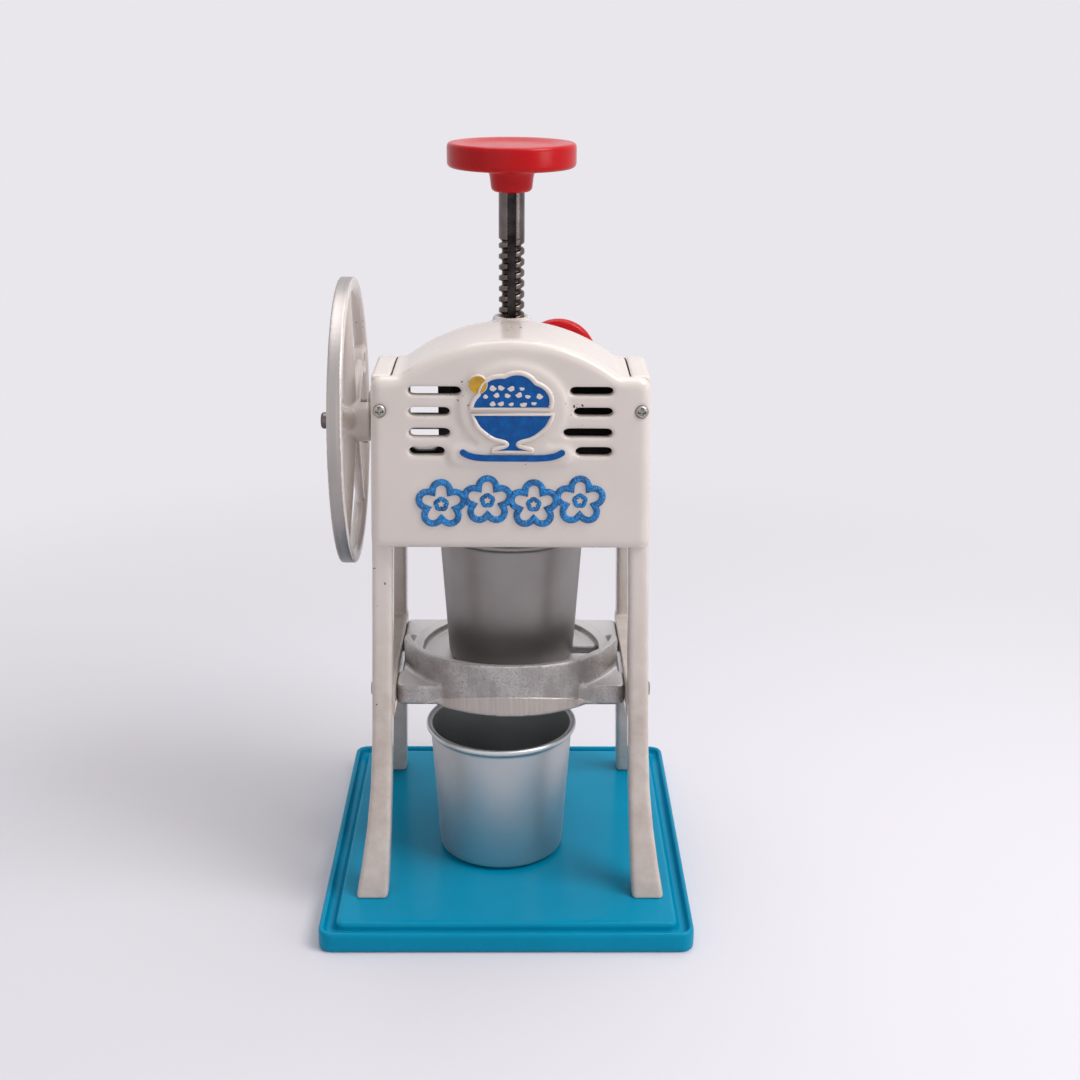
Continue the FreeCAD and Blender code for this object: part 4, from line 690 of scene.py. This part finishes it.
def screw_tree(material):
    """Pan head screws with a cross recess, one on each seed point, along its facing."""
    tree, size = geometry_tree("pan_screws", ["Head Radius", "Head Height", "Shank Radius", "Shank Length"])
    head = add(tree, "GeometryNodeMeshCylinder",
               {"Vertices": 72, "Side Segments": 4, "Fill Segments": 22, "Radius": size["Head Radius"],
                "Depth": size["Head Height"]}, fill_type="TRIANGLE_FAN")
    half = add(tree, "ShaderNodeMath", {0: size["Head Height"], 1: 0.5}, operation="MULTIPLY")
    where = add(tree, "ShaderNodeSeparateXYZ", {0: add(tree, "GeometryNodeInputPosition")}).outputs
    across = add(tree, "ShaderNodeMath", {0: where["X"], 1: size["Head Radius"]}, operation="DIVIDE")
    along = add(tree, "ShaderNodeMath", {0: where["Y"], 1: size["Head Radius"]}, operation="DIVIDE")
    wide = add(tree, "ShaderNodeMath", {0: across}, operation="ABSOLUTE")
    long = add(tree, "ShaderNodeMath", {0: along}, operation="ABSOLUTE")
    arms = []
    for side, reach in ((wide, long), (long, wide)):
        thin = add(tree, "ShaderNodeMath", {0: side, 1: recess_half}, operation="DIVIDE")
        far = add(tree, "ShaderNodeMath", {0: reach, 1: recess_reach}, operation="DIVIDE")
        arms.append(add(tree, "ShaderNodeMath", {0: thin, 1: far}, operation="MAXIMUM"))
    cross = add(tree, "ShaderNodeMath", {0: arms[0], 1: arms[1]}, operation="MINIMUM")
    sink = add(tree, "ShaderNodeMapRange", {"Value": cross, "From Min": recess_lip[0],
                                            "From Max": recess_lip[1], "To Min": recess_depth, "To Max": 0.0})
    wide_square = add(tree, "ShaderNodeMath", {0: across, 1: 2.0}, operation="POWER")
    long_square = add(tree, "ShaderNodeMath", {0: along, 1: 2.0}, operation="POWER")
    square = add(tree, "ShaderNodeMath", {0: wide_square, 1: long_square}, operation="ADD")
    steep = add(tree, "ShaderNodeMath", {0: square, 1: crown_power}, operation="POWER")
    crown = add(tree, "ShaderNodeMath", {0: steep, 1: crown_fall}, operation="MULTIPLY")
    drop = add(tree, "ShaderNodeMath", {0: crown, 1: sink}, operation="ADD")
    top = add(tree, "ShaderNodeMath", {0: where["Z"], 1: 0.0}, operation="GREATER_THAN")
    drop_top = add(tree, "ShaderNodeMath", {0: drop, 1: top}, operation="MULTIPLY")
    fall = add(tree, "ShaderNodeMath", {0: drop_top, 1: size["Head Height"]}, operation="MULTIPLY")
    down = add(tree, "ShaderNodeMath", {0: half, 1: fall}, operation="SUBTRACT")
    offset = add(tree, "ShaderNodeCombineXYZ", {"Z": down})
    domed = add(tree, "GeometryNodeSetPosition", {"Geometry": head, "Offset": offset})
    shank = add(tree, "GeometryNodeMeshCylinder", {"Vertices": 24, "Radius": size["Shank Radius"],
                                                   "Depth": size["Shank Length"]})
    back = add(tree, "ShaderNodeMath", {0: size["Shank Length"], 1: shank_sunk - 0.5}, operation="MULTIPLY")
    shank_place = add(tree, "ShaderNodeCombineXYZ", {"Z": back})
    shank_set = add(tree, "GeometryNodeTransform", {"Geometry": shank, "Translation": shank_place})
    one = add(tree, "GeometryNodeJoinGeometry")
    for part in (domed, shank_set):
        tree.links.new(source(part), one.inputs[0])
    facing = add(tree, "GeometryNodeInputNamedAttribute", {"Name": "facing"}, data_type="FLOAT_VECTOR")
    turn = add(tree, "FunctionNodeAlignRotationToVector", {"Vector": facing.outputs["Attribute"]}, axis="Z")
    points = add(tree, "NodeGroupInput").outputs["Geometry"]
    many = add(tree, "GeometryNodeInstanceOnPoints", {"Points": points, "Instance": one, "Rotation": turn})
    ended(tree, many, material)
    return tree


def cover_screws():
    """Two screws on each cover and one on the hood's left side, each where its node's head is."""
    tree = screw_tree(finishes["plated_screw"])
    head_radius = screw_head_radius * MM
    head_height = screw_head_height * MM
    values = {"Head Radius": head_radius, "Head Height": head_height, "Shank Radius": screw_shank_radius * MM,
              "Shank Length": screw_shank_length * MM}
    for node, way in (("front_cover_screws", Vector((0, -1, 0))), ("rear_cover_screws", Vector((0, 1, 0))),
                      ("hood_side_screws", Vector((-1, 0, 0)))):
        low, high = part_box(node)
        size = high - low
        seat = (low + high) / 2 + way * (abs(size.dot(way)) / 2 - head_height)
        apart = Vector((size.x / 2 - head_radius, 0, 0))
        places = [seat - apart, seat + apart] if way.y else [seat]
        seeds = bpy.data.meshes.new("seed")
        seeds.from_pydata(places, [], [])
        attribute = seeds.attributes.new("facing", "FLOAT_VECTOR", "POINT")
        for item in attribute.data:
            item.vector = way
        mesh = grown(tree, values, seeds)
        mesh.shade_smooth()
        mesh.set_sharp_from_angle(angle=math.radians(35))
        shown(node + "_crossed", mesh, "root", "plated_screw", [node])


# ---- castings and turned pieces ----
def castings():
    """Castings and mouldings with rounded edges: node, voxel in mm, rounds of smoothing, body and slot."""
    for node, voxel, rounds, body, slot in (
        ("front_cover", 0.85, 14, "root", "cream_enamel"),
        ("rear_cover", 0.9, 12, "root", "cream_enamel"),
        ("left_side_frame", 0.8, 12, "root", "cream_enamel"),
        ("right_side_frame", 0.8, 12, "root", "cream_enamel"),
        ("blade_table", 0.8, 4, "root", "cast_aluminium"),
        ("base_tray", 1.1, 7, "root", "turquoise_abs"),
        ("handwheel", 0.6, 6, "handwheel", "cream_enamel"),
    ):
        finish = [wheel_finish] if node == "handwheel" else []
        mesh = cast_skin(node, voxel, rounds)
        if node == "front_cover":
            mesh = pressed(mesh, collar_reach * MM)
        shown(node + "_skin", mesh, body, slot, [node], finish)


def collar_top():
    """Height of the low collar that the enamel leaves round the spindle."""
    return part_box("spindle_bush")[1].z - collar_drop * MM


def pressed(mesh, radius):
    """The hood with its collar brought down to the enamel's height."""
    level = collar_top()
    for vertex in mesh.vertices:
        if vertex.co.z > level and math.hypot(vertex.co.x, vertex.co.y) < radius:
            vertex.co.z = level
    return mesh


def hood_collar():
    """Enamelled ring round the spindle, over the end of its bush."""
    low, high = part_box("spindle_bush")
    outer = high.x / MM
    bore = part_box("screw_spindle")[1].x / MM + collar_play
    base = low.z / MM
    top = collar_top() / MM + ring_rise
    lip = outer + ring_lip
    points = [(bore, base), (outer, base), (outer, top - ring_band - ring_slope), (lip, top - ring_band),
              (lip, top), (bore, top)]
    outline = eased([Vector(p) for p in points], ring_rounding)
    shown("hood_collar", lathe(outline, (0, 0, 0), closed=True), "root", "cream_enamel", ["spindle_bush"])


def round_handle():
    """Handle with a thick rounded rim, a hollowed top and a tapered hub."""
    low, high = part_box("top_handle")
    r = high.x / MM
    base = low.z / MM
    top = (high.z - low.z) / MM
    rim = top / 2
    points = [(0, 0), (handle_hub, 0), (handle_neck, rim - 2.9), (handle_flare, rim - 0.9), (r, rim)]
    points += [(r, top), (r - handle_lip, top), (r * 0.62, top - handle_dish), (0, top - handle_dish)]
    outline = eased([Vector(p) for p in points], handle_rounding)
    shown("round_handle", lathe(outline, (0, 0, base)), "spindle", "red_plastic", ["top_handle"])


def round_knob():
    """Knob like a flat mushroom, turned about the level axis of its screw."""
    low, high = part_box("brake_knob")
    r = (high.x - low.x) / 2 / MM
    depth = (high.y - low.y) / MM
    centre = ((low.x + high.x) / 2 / MM, low.y / MM, (low.z + high.z) / 2 / MM)
    points = [(0, 0), (knob_hub, 0), (knob_hub, knob_neck), (r * 0.7, knob_neck), (r - 1.5, 3.6), (r, 5.2)]
    points += [(r, depth - 2.2), (r - 2.0, depth - 0.4), (r * 0.6, depth), (0, depth)]
    outline = eased([Vector(p) for p in points], knob_rounding)
    shown("round_knob", lathe(outline, centre, "Y"), "brake", "red_plastic", ["brake_knob"])


def dessert_cups():
    """Cups spun from sheet, with a bead rolled round the rim, and duller inside below it."""
    # the upper cup's darker finish is partly painted shade
    for node, finish in (("upper_cup", tarnished_and_shaded_cup), ("lower_cup", finishes["spun_aluminium"])):
        low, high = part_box(node)
        rim = (high.x - low.x) / 2 / MM
        height = (high.z - low.z) / MM
        centre = ((low.x + high.x) / 2 / MM, (low.y + high.y) / 2 / MM, low.z / MM)
        wall = rim - cup_bead
        base = wall - cup_taper
        points = [(0, 0), (base - 3.0, 0), (base - 0.2, 1.6), (wall - 0.4, height - 4.4)]
        points += [(wall + 0.5, height - 3.2), (rim, height - 2.6), (rim, height - 0.8), (wall + 0.6, height)]
        points += [(wall - cup_sheet, height - 0.9), (base - 1.4, 2.8), (base - 3.4, cup_sheet),
                   (0, cup_sheet)]
        outline = eased([Vector(p) for p in points], cup_rounding)
        mesh = lathe(outline, centre, "Z", 160)
        middle = Vector(centre) * MM
        for face in mesh.polygons:
            out = face.center - middle
            inward = face.normal.x * out.x + face.normal.y * out.y < 0 or face.normal.z > 0.7
            if inward and out.z < (height - cup_bright_rim) * MM:
                face.material_index = 1
        shown(node + "_spun", mesh, node, "spun_aluminium", [node], [finish, cup_inside])


# ---- relief on the front ----
def front_mesh(curve, y):
    """A curve drawn in x and z, laid on the front at depth y, as a mesh."""
    host = bpy.data.objects.new(curve.name, curve)
    scene.collection.objects.link(host)
    mesh = evaluated(host)
    turn = Matrix.Translation((0, y * MM, 0)) @ Matrix.Rotation(math.pi / 2, 4, "X")
    mesh.transform(turn @ Matrix.Scale(MM, 4))
    mesh.shade_smooth()
    return mesh


def painted(name, mesh, material):
    """Relief of the front cover with its own paint."""
    mesh.materials.append(material)
    piece = bpy.data.objects.new(name, mesh)
    scene.collection.objects.link(piece)
    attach(piece, "root")


def drawn(name, outlines):
    """A closed curve through each outline of (x, z)."""
    curve = bpy.data.curves.new(name, "CURVE")
    for outline in outlines:
        spline = curve.splines.new("POLY")
        spline.points.add(len(outline) - 1)
        for point, (x, z) in zip(spline.points, outline):
            point.co = (x, z, 0, 1)
        spline.use_cyclic_u = True
    return curve


def field(name, outlines, lift, material, y=field_y):
    """Painted fields that stand a little off the casting."""
    curve = drawn(name, outlines)
    curve.dimensions = "2D"
    curve.fill_mode = "BOTH"
    curve.extrude = lift
    curve.bevel_depth = 0.15
    curve.bevel_resolution = 2
    painted(name, front_mesh(curve, y), material)


def ridge(name, outlines, radius, material, y=field_y):
    """Round ridges half sunk in the casting."""
    curve = drawn(name, outlines)
    curve.dimensions = "3D"
    curve.bevel_depth = radius
    curve.bevel_resolution = 5
    painted(name, front_mesh(curve, y), material)


def heap_outline():
    """Scalloped heap of shaved ice above the bowl's rim."""
    points = []
    for step in range(73):
        turn = math.pi * step / 72
        swell = 1 + heap_swell * abs(math.sin(heap_lobes * turn))
        points.append((relief_x + heap_half_width * swell * math.cos(turn),
                       relief_rim_z + rim_gap + heap_height * swell * math.sin(turn)))
    return points


def bowl_outline():
    """Footed bowl below its rim."""
    half = [(17.8, 0.0), (15.6, -6.0), (9.0, -11.4), (2.6, -12.8), (2.4, -14.4), (8.6, -16.0), (8.8, -17.2)]
    right = eased([Vector(p) for p in half], 3.0, 4)
    both = [(p.x, p.y) for p in right] + [(-p.x, p.y) for p in reversed(right)]
    return [(relief_x + x, relief_rim_z - rim_gap + z) for x, z in both]


def flake(x, z, size, turn):
    """A small uneven flake."""
    return [(x + size * (1 + 0.25 * math.sin(3 * a + turn)) * math.cos(a),
             z + size * (0.75 + 0.2 * math.cos(2 * a + turn)) * math.sin(a))
            for a in (math.pi * k / 5 for k in range(10))]


def band(line, half):
    """Outline of a line of that half width with round ends."""
    points = [Vector(p) for p in line]
    pairs = zip(points[:1] + points, points[1:] + points[-1:])
    ways = [(after - before).normalized() for before, after in pairs]
    over = [p + Vector((-way.y, way.x)) * half for p, way in zip(points, ways)]
    under = [p - Vector((-way.y, way.x)) * half for p, way in zip(points, ways)]
    caps = []
    for point, way in ((points[-1], ways[-1]), (points[0], -ways[0])):
        side = Vector((-way.y, way.x))
        caps.append([point + (side * math.cos(a) + way * math.sin(a)) * half
                     for a in (math.pi * k / 8 for k in range(1, 8))])
    return [(p.x, p.y) for p in over + caps[0] + under[::-1] + caps[1]]


def bowl_relief():
    """Bowl heaped with shaved ice, as blue fields between cream ridges, over a plate line."""
    heap = heap_outline()
    bowl = bowl_outline()
    field("relief_blue_fields", [heap, bowl], 0.35, blue_paint)
    ridge("relief_ridges", [heap, bowl], ridge_radius, enamel)
    chance = random.Random(11)
    flakes = []
    for row in range(4):
        for column in range(-3, 4):
            x = relief_x + (column + (row % 2) / 2) * flake_gap + chance.uniform(-0.6, 0.6)
            z = relief_rim_z + flake_base + row * flake_row_gap + chance.uniform(-0.5, 0.5)
            if math.hypot(x - relief_x, z - relief_rim_z) < flake_reach:
                flakes.append(flake(x, z, chance.uniform(0.9, 1.35), chance.uniform(0, 6)))
    field("relief_flakes", flakes, 0.5, enamel)
    slice_x = relief_x + slice_offset[0]
    slice_z = relief_rim_z + slice_offset[1]
    lemon = [(slice_x + slice_radius * math.cos(a), slice_z + slice_radius * math.sin(a))
             for a in (math.pi * k / 14 for k in range(28))]
    field("relief_lemon_slice", [lemon], 0.9, yellow_paint)
    ridge("relief_lemon_ridge", [lemon], slice_ridge, enamel)
    plate = [(relief_x + x, plate_z + plate_rise * abs(x / plate_half) ** 6)
             for x in range(-plate_half, plate_half + 1)]
    field("relief_plate_line", [band(plate, plate_line_half)], 0.8, blue_paint)


def blossom(x, z, size, dip):
    """Outline of a blossom: round petals that meet in cusps, dip of its size below the petals' tips."""
    turns = [math.pi * k / 60 for k in range(120)]
    reach = [size * (1 - dip + dip * abs(math.cos(petals * a / 2)) ** 0.7) for a in turns]
    return [(x + r * math.sin(a), z + r * math.cos(a)) for a, r in zip(turns, reach)]


def flower_row():
    """Row of hollow blossoms in thick blue outline paint, each with a small heart."""
    outlines = []
    hearts = []
    for index in range(blossom_count):
        x = (index - (blossom_count - 1) / 2) * blossom_gap
        z = blossom_z + (blossom_sway if index % 2 else -blossom_sway)
        outlines.append(blossom(x, z, blossom_size, blossom_dip))
        hearts.append(blossom(x, z, heart_size, heart_dip))
    ridge("flower_outlines", outlines, blossom_line, blue_outline, y=face_y + 0.3)
    ridge("flower_hearts", hearts, heart_line, blue_outline, y=face_y + 0.2)


# ---- stage, light and camera ----
def seen(tree):
    """1 for rays that show the surroundings: from the eye, or off or through a piece."""
    path = add(tree, "ShaderNodeLightPath").outputs
    first = add(tree, "ShaderNodeMath", {0: path["Is Camera Ray"], 1: path["Is Glossy Ray"]},
                operation="MAXIMUM")
    return add(tree, "ShaderNodeMath", {0: first, 1: path["Is Transmission Ray"]}, operation="MAXIMUM")


def floor():
    """Plain pale floor, lit round the object and fading into the even surroundings further out."""
    material, tree, shader, place = start("pale_floor")
    shader.inputs["Base Color"].default_value = tint("#DAD7DC")
    shader.inputs["Roughness"].default_value = 0.7
    shader.inputs["Specular IOR Level"].default_value = 0.2
    away = add(tree, "ShaderNodeVectorMath", {0: place}, operation="LENGTH")
    far = add(tree, "ShaderNodeMapRange", {"Value": away.outputs["Value"], "From Min": floor_near,
                                           "From Max": floor_far}, interpolation_type="SMOOTHSTEP")
    share = add(tree, "ShaderNodeMath", {0: far, 1: seen(tree)}, operation="MULTIPLY")
    glow = add(tree, "ShaderNodeEmission", {"Color": tint(surroundings), "Strength": 1.0})
    mix = add(tree, "ShaderNodeMixShader", {0: share, 1: shader, 2: glow})
    tree.links.new(source(mix), tree.nodes["Material Output"].inputs["Surface"])
    body = bmesh.new()
    bmesh.ops.create_grid(body, x_segments=1, y_segments=1, size=floor_half)
    mesh = bpy.data.meshes.new("floor")
    body.to_mesh(mesh)
    body.free()
    mesh.materials.append(material)
    ground = bpy.data.objects.new("floor", mesh)
    scene.collection.objects.link(ground)


def world():
    """Pale even surroundings, brighter to look at than the light they give."""
    sky = bpy.data.worlds.new("pale_surroundings")
    sky.use_nodes = True
    tree = sky.node_tree
    tree.nodes.clear()
    light = add(tree, "ShaderNodeBackground", {"Color": tint(surroundings), "Strength": 0.5})
    view = add(tree, "ShaderNodeBackground", {"Color": tint(surroundings), "Strength": 1.0})
    mix = add(tree, "ShaderNodeMixShader", {0: seen(tree), 1: light, 2: view})
    add(tree, "ShaderNodeOutputWorld", {"Surface": mix})
    scene.world = sky


def lamp(name, place, size, power):
    """A soft square lamp that looks at the object."""
    light = bpy.data.lights.new(name, "AREA")
    light.shape = "SQUARE"
    light.size = size
    light.energy = power
    holder = bpy.data.objects.new(name, light)
    holder.location = place
    holder.rotation_euler = (Vector(place) - Vector(lamp_aim)).to_track_quat("Z", "Y").to_euler()
    scene.collection.objects.link(holder)


def camera():
    """The camera, a little above the object and straight in front of it."""
    eye = bpy.data.cameras.new("camera")
    eye.sensor_width = camera_sensor
    eye.lens = camera_lens
    eye.clip_start = camera_near
    holder = bpy.data.objects.new("camera", eye)
    turn = Matrix.Identity(4)
    for angle, axis in ((camera_pan, "Z"), (camera_tilt, "X"), (camera_roll, "Z")):
        turn = turn @ Matrix.Rotation(math.radians(angle), 4, axis)
    holder.matrix_world = Matrix.Translation(camera_place) @ turn
    scene.collection.objects.link(holder)
    scene.camera = holder


def dress_frame():
    """Gives each node that stays shown the finish of its slot."""
    slots = {row["node"]: row["material_slot"] for row in frame["record"]["subparts"]}
    for name, piece in nodes.items():
        finish = finishes.get(slots.get(name))
        for slot in piece.material_slots:
            slot.material = finish


dress_frame()
castings()
threaded_spindle()
cover_screws()
hood_collar()
round_handle()
round_knob()
dessert_cups()
bowl_relief()
flower_row()
floor()
world()
for name, (place, size, power) in lamps.items():
    lamp(name, place, size, power)
camera()
scene.view_settings.view_transform = "Standard"
